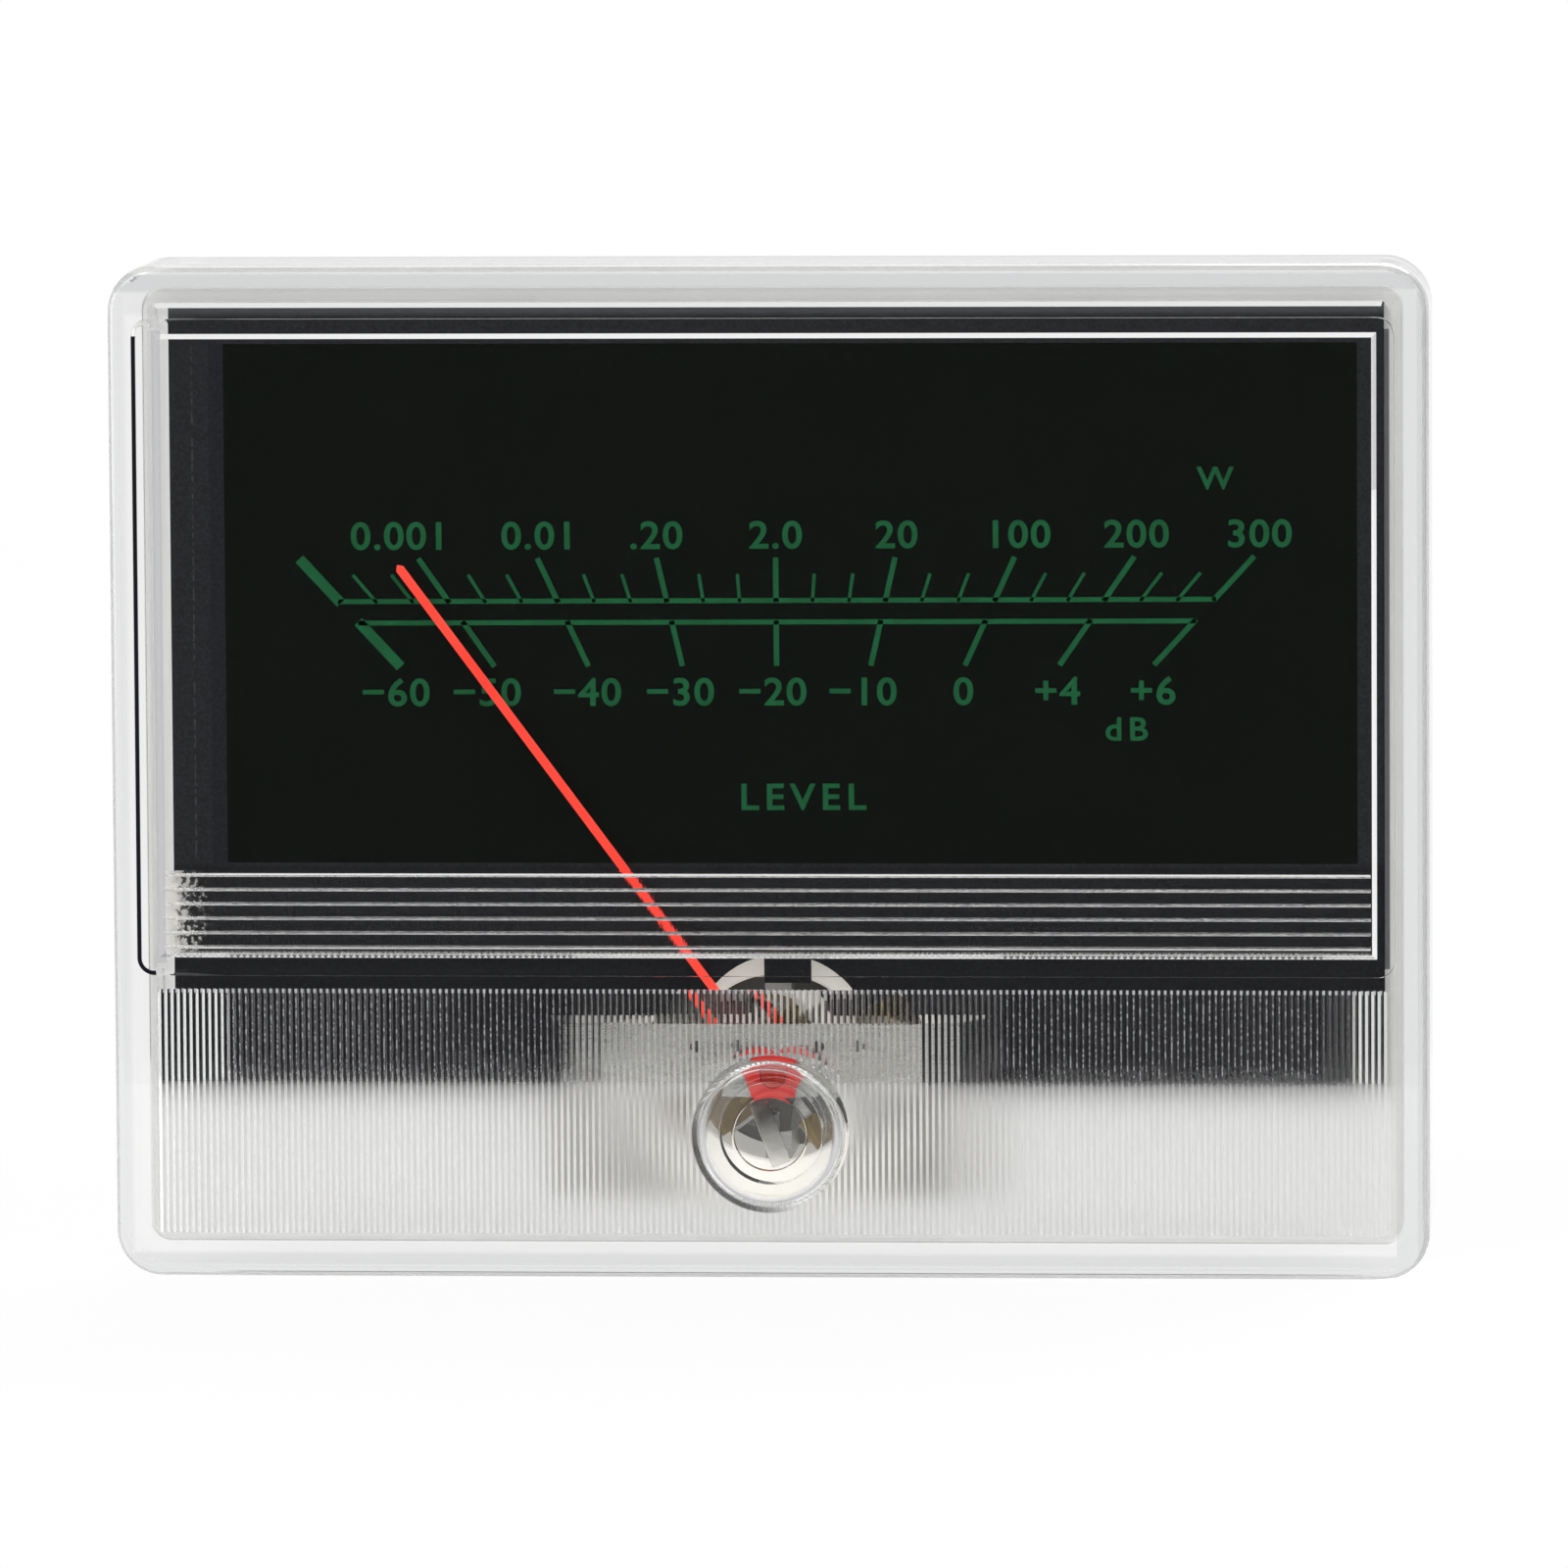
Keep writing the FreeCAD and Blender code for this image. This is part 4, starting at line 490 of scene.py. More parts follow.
def paintedPrismTones(tree, split, speck, ribMask):
    # painted shade: dark facets with dotted crests of painted highlight over the dial's foot, and the row of bright
    # prism tips as a painted highlight
    along = mathNode(tree, "SUBTRACT", split.outputs["X"], prisms["first"] * mm)
    fromCrest = mathNode(tree, "PINGPONG", mathNode(tree, "DIVIDE", along, prisms["step"] * mm), 0.5)
    parts = []
    for start, full, fading, end in prisms["zones"]:
        rising = rangeNode(tree, split.outputs["X"], start * mm, full * mm)
        falling = rangeNode(tree, split.outputs["X"], fading * mm, end * mm, 1.0, 0.0)
        parts.append(product(tree, rising, falling))
    height = raggedPlace(tree, split.outputs["Z"], speck, prisms["ragged"])
    zone = product(tree, greatest(tree, *parts), rangeNode(tree, height, *inMetres(prisms["foot"])), ribMask)
    crest = rangeNode(tree, fromCrest, *prisms["crest"], 1.0, 0.0)
    dark = product(tree, zone, mathNode(tree, "SUBTRACT", 1.0, crest), prisms["shadeShare"])
    pale = product(tree, zone, crest, rangeNode(tree, speck, *prisms["dots"]), prisms["crestShare"])
    low, high = inMetres(prisms["tips"])
    lowBlur, highBlur = inMetres(prisms["tipBlur"])
    tips = product(tree, rangeNode(tree, split.outputs["Z"], low, low + lowBlur),
                   rangeNode(tree, split.outputs["Z"], high - highBlur, high, 1.0, 0.0),
                   rangeNode(tree, fromCrest, *prisms["tipCrest"], 1.0, 0.0), ribMask, prisms["tipShare"])
    return [(dark, prisms["shadeTint"]), (greatest(tree, pale, tips), prisms["paintedCrestLight"])]


def paintedMarginTones(tree, split):
    # painted shade: the thick rim round the pad, a little greyer than the strip it frames
    share = 0.0
    for axis, bands in (("X", edgeShade["marginX"]), ("Z", edgeShade["marginZ"])):
        total = 0.0
        for low, high, first, second in bands:
            part = rangeNode(tree, split.outputs[axis], low * mm, high * mm, first, second)
            total = mathNode(tree, "ADD", total, part)
        share = greatest(tree, share, total)
    front = rangeNode(tree, split.outputs["Y"], *inMetres(edgeShade["marginFront"]), 1.0, 0.0)
    return [(product(tree, share, front), edgeShade["paintedMarginShade"])]


def paintedWellShade(tree, split, flat, away):
    # painted shade: the dark lower left of the well round the adjuster
    inner, outer = inMetres(edgeShade["wellRing"])
    blur = edgeShade["wellBlur"] * mm
    front, frontBlur = inMetres((edgeShade["wellFront"], edgeShade["frontBlur"]))
    toward = addNode(tree, "VectorMath", operation="DOT_PRODUCT")
    addLink(tree, flat, toward.inputs[0])
    toward.inputs[1].default_value = edgeShade["wellToward"]
    return product(tree, rangeNode(tree, away, inner, inner + blur),
                   rangeNode(tree, away, outer - blur, outer, 1.0, 0.0),
                   rangeNode(tree, split.outputs["Y"], front - frontBlur, front, 1.0, 0.0),
                   rangeNode(tree, toward.outputs["Value"], *inMetres(edgeShade["wellSpan"]),
                             0.0, edgeShade["wellShare"]))


def frostAndPaintedShade(tree, shader, place, fine, polish):
    # the streaked face behind the level lines and the satin prisms, clear round the adjuster's boss; it also
    # returns painted shade and painted light for the cover
    split = splitOf(tree, place)
    lineMask = boxMask(tree, split, frosted["lineField"])
    flat, away = aroundAxis(tree, split, frosted["bossX"], frosted["bossZ"])
    radius, edge = inMetres((frosted["bossRadius"], frosted["bossEdge"]))
    ribMask = product(tree, boxMask(tree, split, frosted["ribField"]), rangeNode(tree, away, radius, radius + edge))
    streak = noiseIn(tree, place, frosted["streak"], stretch=frosted["streakRun"])
    speck = noiseIn(tree, place, frosted["speck"])
    raggedX = raggedPlace(tree, split.outputs["X"], speck, frosted["fadeRagged"])
    fade = greatest(tree, rangeNode(tree, raggedX, *inMetres(frosted["leftFade"]), 1.0, 0.0),
                    rangeNode(tree, split.outputs["Z"], *inMetres(frosted["footFade"]), 1.0, 0.0))
    fade = product(tree, fade, rangeNode(tree, streak, *frosted["fadeStreaks"]))

    lineRough = mathNode(tree, "ADD", fromNoise(tree, streak, *frosted["lineRough"]),
                         product(tree, fade, frosted["fadeRough"]))
    lower = rangeNode(tree, split.outputs["Z"], *inMetres(frosted["lowerRibs"]), 0.0, frosted["lowerRough"])
    ribRough = mathNode(tree, "ADD", fromNoise(tree, speck, *frosted["ribRough"]), lower)
    sideMask = boxMask(tree, split, frosted["sideField"], frosted["sideEdge"])
    rough = greatest(tree, product(tree, lineRough, lineMask), product(tree, ribRough, ribMask),
                     product(tree, sideMask, frosted["sideRough"]), polish)
    addLink(tree, rough, shader.inputs["Roughness"])
    relief = mathNode(tree, "ADD", product(tree, streak, lineMask),
                      product(tree, speck, ribMask, frosted["ribRelief"]))
    height = mathNode(tree, "ADD", product(tree, fine, frosted["fineRelief"]), relief)
    bumpInto(tree, shader, height, frosted["relief"])

    # painted shade on the pad's edges and the lower left of the well
    dark = greatest(tree, boxMask(tree, split, edgeShade["padEdge"], edgeShade["padBlur"]),
                    boxMask(tree, split, edgeShade["rightEdge"], edgeShade["sideBlur"]),
                    paintedWellShade(tree, split, flat, away))
    # painted light: a pale tint where the level lines fade at their left end and foot
    pale = product(tree, fade, lineMask, frosted["fadeShare"])
    # painted grey shade on the window's left wall
    wall = boxMask(tree, split, edgeShade["windowLeft"], edgeShade["sideBlur"])
    tones = [(dark, edgeShade["tint"]), (pale, frosted["paintedFadeLight"]), (wall, edgeShade["paintedWindowLeftShade"])]
    return tones + paintedPrismTones(tree, split, speck, ribMask) + paintedMarginTones(tree, split)


def satinAndPaintedRim(tree, shader, place, fine, polish):
    # the satin floor of the adjuster's driver slot, and a painted pale grey on the foot of its rim, standing in for
    # refraction
    split = splitOf(tree, place)
    floor = boxMask(tree, split, satinSlot["field"], satinSlot["fieldEdge"])
    speck = noiseIn(tree, place, satinSlot["speck"])
    rough = product(tree, fromNoise(tree, speck, *satinSlot["rough"]), floor)
    addLink(tree, greatest(tree, rough, polish), shader.inputs["Roughness"])
    height = mathNode(tree, "ADD", product(tree, fine, satinSlot["fineRelief"]), product(tree, speck, floor))
    bumpInto(tree, shader, height, satinSlot["relief"])
    away = aroundAxis(tree, split, frosted["bossX"], frosted["bossZ"])[1]
    inner, blur = inMetres((satinSlot["rimInner"], satinSlot["rimBlur"]))
    front, frontBlur = inMetres((satinSlot["rimFront"], satinSlot["frontBlur"]))
    below = rangeNode(tree, split.outputs["Z"], *inMetres(satinSlot["rimBelow"]), satinSlot["rimShare"], 0.0)
    ring = product(tree, rangeNode(tree, away, inner, inner + blur),
                   rangeNode(tree, split.outputs["Y"], front - frontBlur, front, 1.0, 0.0), below)
    return [(ring, satinSlot["paintedRimTone"])]


clear = {"index": 1.49, "waves": 1.6, "waveRelief": 0.001}


def clearMaterial(name, tint, polish, surfaceAndPaintedTones=None, shade=0.97):
    # clear polished plastic, glass or jewel, which lets the lamps through to what is behind it
    settings = {"Base Color": (*tint, 1), "IOR": clear["index"], "Transmission Weight": 1.0}
    material, tree, shader = startMaterial(name, settings)
    place = objectPlace(tree)
    fine = noiseIn(tree, place, clear["waves"], 2.0)
    surface = shader.outputs[0]
    if surfaceAndPaintedTones:
        # masks of painted shade and painted light from the frosting function, each mixed in as a flat diffuse tone
        for mask, shadeTint in surfaceAndPaintedTones(tree, shader, place, fine, polish):
            paintedTone = addNode(tree, "BsdfDiffuse")
            paintedTone.inputs["Color"].default_value = (*shadeTint, 1)
            surface = blendShaders(tree, mask, surface, paintedTone.outputs[0])
    else:
        shader.inputs["Roughness"].default_value = polish
        bumpInto(tree, shader, fine, clear["waveRelief"])
    path = addNode(tree, "LightPath")
    through = addNode(tree, "BsdfTransparent")
    through.inputs["Color"].default_value = (shade, shade, shade, 1)
    share = greatest(tree, path.outputs["Is Shadow Ray"], path.outputs["Is Diffuse Ray"])
    surfaceFrom(tree, blendShaders(tree, share, surface, through.outputs[0]))
    return material


finish = {
    "clear_cover": clearMaterial("clearCover", (0.916, 0.918, 0.914), 0.01, frostAndPaintedShade),
    "clear_knob": clearMaterial("clearKnob", (0.94, 0.945, 0.94), 0.012, satinAndPaintedRim),
    "white_case": mouldedMaterial("whiteCase", (0.745, 0.745, 0.73), (0.785, 0.785, 0.77), 0.42,
                                  0.35, 0.012, 14.0),
    "opal_sheet": mouldedMaterial("opalSheet", (0.82, 0.82, 0.79), (0.88, 0.88, 0.86), 0.30, 0.6, 0.004, 12.0,
                                  **{"Subsurface Weight": 0.2, "Subsurface Scale": 0.001}),
    "board": mouldedMaterial("boardLacquer", (0.78, 0.78, 0.72), (0.84, 0.84, 0.79), 0.35, 0.5, 0.006, 5.0),
    "lamp_clear": clearMaterial("lampClear", (0.98, 0.98, 0.93), 0.03),
    "nickel": metalMaterial("nickelPlate", (0.62, 0.60, 0.56), (0.72, 0.70, 0.66), 0.24,
                            0.06, (1.0, 1.0, 0.2)),
    "black_plastic": mouldedMaterial("blackPlastic", (0.012, 0.012, 0.013), (0.022, 0.022, 0.024), 0.38,
                                     0.3, 0.008, 4.0),
    "frame_alloy": metalMaterial("frameAlloy", (0.44, 0.43, 0.41), (0.56, 0.55, 0.53), 0.34,
                                 0.10, (0.06, 1.0, 1.0)),
    "bridge_alloy": metalMaterial("bridgeAlloy", (0.56, 0.555, 0.53), (0.66, 0.65, 0.62), 0.30,
                                  0.09, (0.05, 1.0, 1.0)),
    # painted light: the cream lacquer's emission lifts it out of the shade inside the case
    "yoke_steel": mouldedMaterial("creamLacquerPaintedGlow", (0.90, 0.87, 0.80), (0.94, 0.92, 0.86), 0.40, 0.5, 0.006, 3.0,
                                  **{"Emission Color": (0.95, 0.92, 0.84, 1), "Emission Strength": 0.38}),
    "magnet": metalMaterial("magnetIron", (0.10, 0.10, 0.10), (0.20, 0.19, 0.18), 0.45,
                            0.14, (1.0, 1.0, 1.0), 0.008),
    "brass": metalMaterial("turnedBrass", (0.62, 0.42, 0.16), (0.74, 0.54, 0.25), 0.26, 0.06, (1.0, 0.3, 1.0)),
    "jewel": clearMaterial("jewelRuby", (0.80, 0.05, 0.12), 0.02, shade=0.8),
    "sealing": mouldedMaterial("sealingLacquer", (0.40, 0.015, 0.010), (0.55, 0.030, 0.015), 0.24,
                               0.5, 0.02, 1.2),
    "spring_bronze": metalMaterial("springBronze", (0.60, 0.40, 0.19), (0.74, 0.52, 0.28), 0.24,
                                   0.05, (1.0, 1.0, 1.0)),
    "copper": metalMaterial("enamelledCopper", (0.10, 0.060, 0.012), (0.22, 0.145, 0.030), 0.28,
                            0.05, (1.0, 0.02, 1.0), 0.02, **{"Coat Weight": 0.15}),
    "tinned": metalMaterial("tinnedSheet", (0.66, 0.66, 0.66), (0.78, 0.78, 0.78), 0.30,
                            0.10, (1.0, 0.1, 1.0)),
    # painted glow: the emission keeps the pointer's red vivid, though the pointer is no lamp
    "pointer_red": mouldedMaterial("pointerRedPaintedGlow", (0.92, 0.040, 0.022), (1.0, 0.060, 0.035), 0.34,
                                   0.3, 0.004, 3.0,
                                   **{"Emission Color": (1.0, 0.05, 0.03, 1), "Emission Strength": 0.30}),
}


dial = {
    "faceY": -2.8,
    "panel": (-37.83, 39.99, -6.86, 28.95), "edge": 0.05,
    "stripe": (-38.85, -37.83),
    "dotted": (-40.05, -39.9), "dotPitch": 0.45, "dots": (0.42, 0.56),
    "bareEdge": (-42.4, -41.52), "bareColour": (0.74, 0.74, 0.735), "footDark": (-7.3, -6.8, 0.64),
    "panelColour": (0.0024, 0.0042, 0.0026),
    "surroundColour": (0.0200, 0.0205, 0.0235),
    "stripeColour": (0.0145, 0.0165, 0.0200),
    "dottedColour": (0.050, 0.056, 0.044),
    "pattern": {"Grain mm": 0.22, "Cloud mm": 6.0}, "mottle": (0.25, 0.75, 0.75, 1.25), "rough": (0.50, 0.58),
    "relief": 0.004,
}

ink = {
    "green": (0.0036, 0.090, 0.0275), "pale": (0.0064, 0.126, 0.0434),
    "pattern": {"Grain mm": 0.30, "Cloud mm": 1.1}, "rough": (0.55, 0.7), "relief": 0.004, "rise": 0.02,
}


def makeDialMaterial():
    material, tree, shader = startMaterial("dialBlack", {"IOR": 1.35, "Specular IOR Level": 0.12})
    place = objectPlace(tree)
    split = splitOf(tree, place)
    edge = dial["edge"] * mm

    def band(axis, low, high):
        rising = rangeNode(tree, split.outputs[axis], low * mm, low * mm + edge)
        falling = rangeNode(tree, split.outputs[axis], high * mm, high * mm - edge)
        return product(tree, rising, falling)

    x0, x1, z0, z1 = dial["panel"]
    panelMask = product(tree, band("X", x0, x1), band("Z", z0, z1))
    stripeMask = product(tree, band("X", *dial["stripe"]), band("Z", z0, z1))
    dots = rangeNode(tree, noiseIn(tree, place, dial["dotPitch"], 1.0), *dial["dots"])
    dotMask = product(tree, band("X", *dial["dotted"]), band("Z", z0, z1), dots)
    group = placeGroup(tree, grainGroup, dial["pattern"])
    low, high, depth = dial["footDark"]
    tone = product(tree, rangeNode(tree, group.outputs["Height"], *dial["mottle"]),
                   rangeNode(tree, split.outputs["Z"], low * mm, high * mm, depth, 1.0))
    ground = colourMix(tree, panelMask, dial["surroundColour"], dial["panelColour"])
    ground = colourMix(tree, stripeMask, ground, dial["stripeColour"])
    ground = colourMix(tree, dotMask, ground, dial["dottedColour"])
    ground = colourMix(tree, 1.0, ground, tone, "MULTIPLY")
    ground = colourMix(tree, band("X", *dial["bareEdge"]), ground, dial["bareColour"])
    addLink(tree, ground, shader.inputs["Base Color"])
    rough = rangeNode(tree, group.outputs["Cloud"], 0.0, 1.0, *dial["rough"])
    addLink(tree, rough, shader.inputs["Roughness"])
    bumpInto(tree, shader, group.outputs["Height"], dial["relief"])
    return material


def makeInkMaterial():
    material, tree, shader = startMaterial("dialGreen", {"Specular IOR Level": 0.2})
    group = placeGroup(tree, grainGroup, ink["pattern"])
    mask = product(tree, group.outputs["Cloud"], group.outputs["Height"])
    addLink(tree, colourMix(tree, mask, ink["green"], ink["pale"]), shader.inputs["Base Color"])
    addLink(tree, fromNoise(tree, group.outputs["Height"], *ink["rough"]), shader.inputs["Roughness"])
    bumpInto(tree, shader, group.outputs["Height"], ink["relief"])
    return material


arm = {
    "redDownTo": -22.6, "edge": 0.04,
    "red": (0.56, 0.012, 0.008), "redPale": (0.66, 0.022, 0.014), "bare": (0.034, 0.027, 0.018),
    "pattern": {"Grain mm": 0.4, "Cloud mm": 2.5}, "metallic": 0.9, "rough": (0.28, 0.40), "relief": 0.006,
}


def makeArmMaterial():
    # red lacquer on a bronzed strip whose fork is left bare
    material, tree, shader = startMaterial("redArm", {"IOR": 1.5, "Specular IOR Level": 0.2})
    split = splitOf(tree, objectPlace(tree))
    group = placeGroup(tree, grainGroup, arm["pattern"])
    low, high = inMetres((arm["redDownTo"] - arm["edge"], arm["redDownTo"] + arm["edge"]))
    bare = rangeNode(tree, split.outputs["Z"], low, high, 1.0, 0.0)
    red = colourMix(tree, group.outputs["Cloud"], arm["red"], arm["redPale"])
    addLink(tree, colourMix(tree, bare, red, arm["bare"]), shader.inputs["Base Color"])
    addLink(tree, product(tree, bare, arm["metallic"]), shader.inputs["Metallic"])
    addLink(tree, fromNoise(tree, group.outputs["Height"], *arm["rough"]), shader.inputs["Roughness"])
    bumpInto(tree, shader, group.outputs["Height"], arm["relief"])
    return material


finish["red_arm"] = makeArmMaterial()
finish["dial_black"] = makeDialMaterial()
inkMaterial = makeInkMaterial()
print("finishes ready:", len(finish) + 1)


# helpers that shape and place pieces

mergeWithin = 0.0005 * mm
flatWithin = math.radians(0.4)


def mergedCopy(node):
    bm = bmesh.new()
    bm.from_mesh(nodes[node].data)
    bmesh.ops.remove_doubles(bm, verts=bm.verts, dist=mergeWithin)
    bmesh.ops.dissolve_limit(bm, angle_limit=flatWithin, verts=bm.verts, edges=bm.edges)
    return bm


def edgesWhere(bm, test, angle=35):
    # sharp edges whose two ends, in mm, both pass the test
    chosen = []
    for edge in bm.edges:
        if len(edge.link_faces) != 2 or edge.calc_face_angle(0) < math.radians(angle):
            continue
        if all(test(vertex.co / mm) for vertex in edge.verts):
            chosen.append(edge)
    return chosen


def soften(bm, edges, width, segments=2, clamp=True):
    if edges:
        bmesh.ops.bevel(bm, geom=edges, offset=width * mm, offset_type="OFFSET", affect="EDGES",
                        segments=segments, profile=0.5, material=-1, clamp_overlap=clamp)


def joinInto(whole, part):
    mesh = bpy.data.meshes.new("part")
    part.to_mesh(mesh)
    part.free()
    whole.from_mesh(mesh)
    bpy.data.meshes.remove(mesh)


def finishPiece(bm, name, slot, body, replaced=(), material=None, smoothAngle=32, recalc=False):
    if recalc:
        bmesh.ops.recalc_face_normals(bm, faces=bm.faces)
    limit = math.radians(smoothAngle)
    for face in bm.faces:
        face.smooth = True
    for edge in bm.edges:
        edge.smooth = len(edge.link_faces) == 2 and edge.calc_face_angle(0) < limit
    mesh = bpy.data.meshes.new(name)
    bm.to_mesh(mesh)
    bm.free()
    mesh.materials.append(material or finish[slot])
    piece = addObject(name, mesh)
    even = piece.modifiers.new("evenFaces", "WEIGHTED_NORMAL")
    even.keep_sharp = True
    even.weight = 60
    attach(piece, body)
    if replaced:
        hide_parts(*replaced)
    return piece


def smoothCopy(node, name, slot, bevelWidth=0.0, look=None):
    # the node's own solid with its surface shaded smooth and its sharp edges eased
    bm = mergedCopy(node)
    if bevelWidth:
        soften(bm, edgesWhere(bm, lambda place: True), bevelWidth, 1)
    return finishPiece(bm, name, slot, nodes[node]["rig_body"], (node,), finish.get(look))


# the clear cover

cover = {
    "padY": -10.4, "faceY": -10.0, "roofY": -8.0, "padFootZ": -15.0, "near": 0.02,
    "padEase": 0.13, "padLeftEase": 0.39, "padLeftX": -42.0, "leftOverlap": 0.1,
    "windowEase": 0.33, "windowRight": 40.9, "windowTop": 29.6, "windowFoot": -12.4, "windowLowest": -13.2,
    "windowSpare": 0.2,
    "wellEase": 0.58, "wellZ": -24.8, "wellRadius": 4.9, "wellNear": 0.05,
    "ribY": (-8.2, -8.01), "ribEase": 0.075, "ribTop": -15.0, "ribsBelow": -14.5,
    "ribLeast": 0.3, "ribEndMost": 0.4, "ribNear": 0.01, "plumb": 0.001,
    "cornerAngle": 60,
}

# edges of the cover that lie a little apart from its solid: where their corners are, and how far they go
coverShifts = [
    # x from, x to, y from, y to, z from, z to, (x, y, z)
    ((-42.8, -41.4, -11.0, -9.98, -15.0, 35.0), (-0.63, 0, 0)),  # pad, left
    ((-43.0, 43.0, -11.0, -9.98, 30.3, 31.2), (0, 0, 0.16)),  # pad, top
    ((41.3, 41.7, -8.8, -7.98, -13.2, 30.2), (-0.50, 0, 0)),  # window, right
    ((-41.8, 41.8, -8.8, -7.98, -12.9, -12.6), (0, 0, 0.27)),  # window, foot
    ((-46.0, 46.0, -8.8, -7.98, 29.6, 30.2), (0, 0, -0.13)),  # window, top
    ((-41.8, 41.8, -8.8, -7.98, -12.5, -6.0), (0, 0, -0.15)),  # level lines
]


def makeCover():
    bm = mergedCopy("front_cover")
    for vertex in bm.verts:
        p = vertex.co / mm
        for (left, right, front, back, foot, top), move in coverShifts:
            if left < p.x < right and front < p.y < back and foot < p.z < top:
                vertex.co += Vector(move) * mm
    near = lambda value, target, slack=cover["near"]: abs(value - target) < slack
    onPad = lambda p: near(p.y, cover["padY"]) and p.z > cover["padFootZ"]
    leftMost = cover["padLeftX"] + cover["leftOverlap"]
    soften(bm, edgesWhere(bm, lambda p: onPad(p) and p.x < leftMost), cover["padLeftEase"], 3)
    soften(bm, edgesWhere(bm, lambda p: onPad(p) and p.x > cover["padLeftX"]), cover["padEase"], 2)
    halfWide = abs(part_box("dial_plate")[0].x / mm) + cover["windowSpare"]
    inRim = lambda p: p.x > cover["windowRight"] or p.z > cover["windowTop"] or p.z < cover["windowFoot"]
    windowRim = edgesWhere(bm, lambda p: near(p.y, cover["roofY"]) and abs(p.x) < halfWide and (
        p.z > cover["windowLowest"] and inRim(p)), cover["cornerAngle"])
    soften(bm, windowRim, cover["windowEase"], 1, clamp=False)
    onWell = lambda p: near(math.hypot(p.x, p.z - cover["wellZ"]), cover["wellRadius"], cover["wellNear"])
    well = edgesWhere(bm, lambda p: near(p.y, cover["faceY"]) and onWell(p), cover["cornerAngle"])
    soften(bm, well, cover["wellEase"], 5)
    low, high = cover["ribY"]
    acrossOf = lambda edge: abs(edge.verts[0].co.x - edge.verts[1].co.x)
    upright = edgesWhere(bm, lambda p: low < p.y < high and p.z < cover["ribsBelow"])
    ribEdges = [edge for edge in upright if (
        acrossOf(edge) < cover["plumb"] * mm and edge.calc_length() > cover["ribLeast"] * mm)]
    atTop = edgesWhere(bm, lambda p: low < p.y < high and near(p.z, cover["ribTop"], cover["ribNear"]),
                       cover["cornerAngle"])
    ends = [edge for edge in atTop if acrossOf(edge) < cover["ribEndMost"] * mm]
    soften(bm, ribEdges + ends, cover["ribEase"], 4)
    return finishPiece(bm, "clearCover", "clear_cover", "meter", ("front_cover",), smoothAngle=24)


makeCover()
print("cover ready")


# the printed scales

scale = {
    "pivotZ": -21.1,
    "step": 0.2316, "overlap": 0.1, "thirds": 12,
    "middleX": 0.16, "middleZ": 11.35, "drop": 0.08, "tilt": 0.16,
    "upper": {"base": 11.35, "major": 14.3, "minor": 13.18},
    "lower": {"base": 9.87, "end": 6.85},
    "lineWidth": 0.34,
    "majorWidth": 0.37,
    "minorWidth": 0.23,
    "endWidth": 0.72,
    "digitHeight": 1.83,
    "upperNumbers": ("0.001", "0.01", ".20", "2.0", "20", "100", "200", "300"),
    "upperPlaces": (-25.7, -16.1, -8.05, 0.16, 8.46, 16.8, 24.9, 33.3),
    "upperZ": 15.87,
    "lowerNumbers": ("−60", "−50", "−40", "−30", "−20", "−10", "0", "+4", "+6"),
    "lowerPlaces": (-26.1, -19.8, -12.9, -6.5, -0.15, 6.05, 12.97, 19.4, 25.95),
    "lowerZ": 5.09,
    "marks": (("W", 30.31, 19.66, 1.5), ("dB", 24.13, 2.47, 1.55), ("LEVEL", 1.87, -2.16, 1.75)),
    "digitSpace": 1.08, "markSpace": 1.3,
    "capHeight": 0.69, "boldness": 0.018, "wide": 1.08, "curveSteps": 4,
}


def addStroke(bm, start, end, width):
    # a flat inked stroke between two (x, z) points in mm on the dial
    run = Vector(end) - Vector(start)
    made = bmesh.ops.create_cube(bm, size=1.0)["verts"]
    bmesh.ops.scale(bm, verts=made, vec=(run.length * mm, ink["rise"] * mm, width * mm))
    bmesh.ops.rotate(bm, verts=made, cent=(0, 0, 0), matrix=Matrix.Rotation(-math.atan2(run.y, run.x), 3, "Y"))
    middle = (Vector(start) + Vector(end)) / 2
    place = Vector((middle.x, dial["faceY"] - ink["rise"] / 2, middle.y)) * mm
    bmesh.ops.translate(bm, verts=made, vec=place)


def atRay(order, z):
    return (scale["middleX"] + scale["step"] * order * (z - scale["pivotZ"]), z)


def setAskew(bm):
    # the print lies a little askew on the plate
    turned = Matrix.Rotation(-math.radians(scale["tilt"]), 3, "Y")
    bmesh.ops.rotate(bm, verts=bm.verts, cent=Vector((0, 0, scale["middleZ"])) * mm, matrix=turned)
    bmesh.ops.translate(bm, verts=bm.verts, vec=(0, 0, -scale["drop"] * mm))


def makeScales():
    bm = bmesh.new()
    upper, lower = scale["upper"], scale["lower"]
    overlap, last = scale["overlap"], scale["thirds"]
    for line in (upper["base"], lower["base"]):
        left, right = atRay(-last / 3, line)[0], atRay(last / 3, line)[0]
        addStroke(bm, (left - overlap, line), (right + overlap, line), scale["lineWidth"])
    for third in range(-last, last + 1):
        order = third / 3
        major = third % 3 == 0
        width = scale["endWidth"] if third == -last else scale["majorWidth" if major else "minorWidth"]
        top = upper["major" if major else "minor"]
        addStroke(bm, atRay(order, upper["base"] - overlap), atRay(order, top), width)
        if major:
            addStroke(bm, atRay(order, lower["base"] + overlap), atRay(order, lower["end"]), width)
    setAskew(bm)
    return finishPiece(bm, "dialScales", "dial_black", "meter", material=inkMaterial)


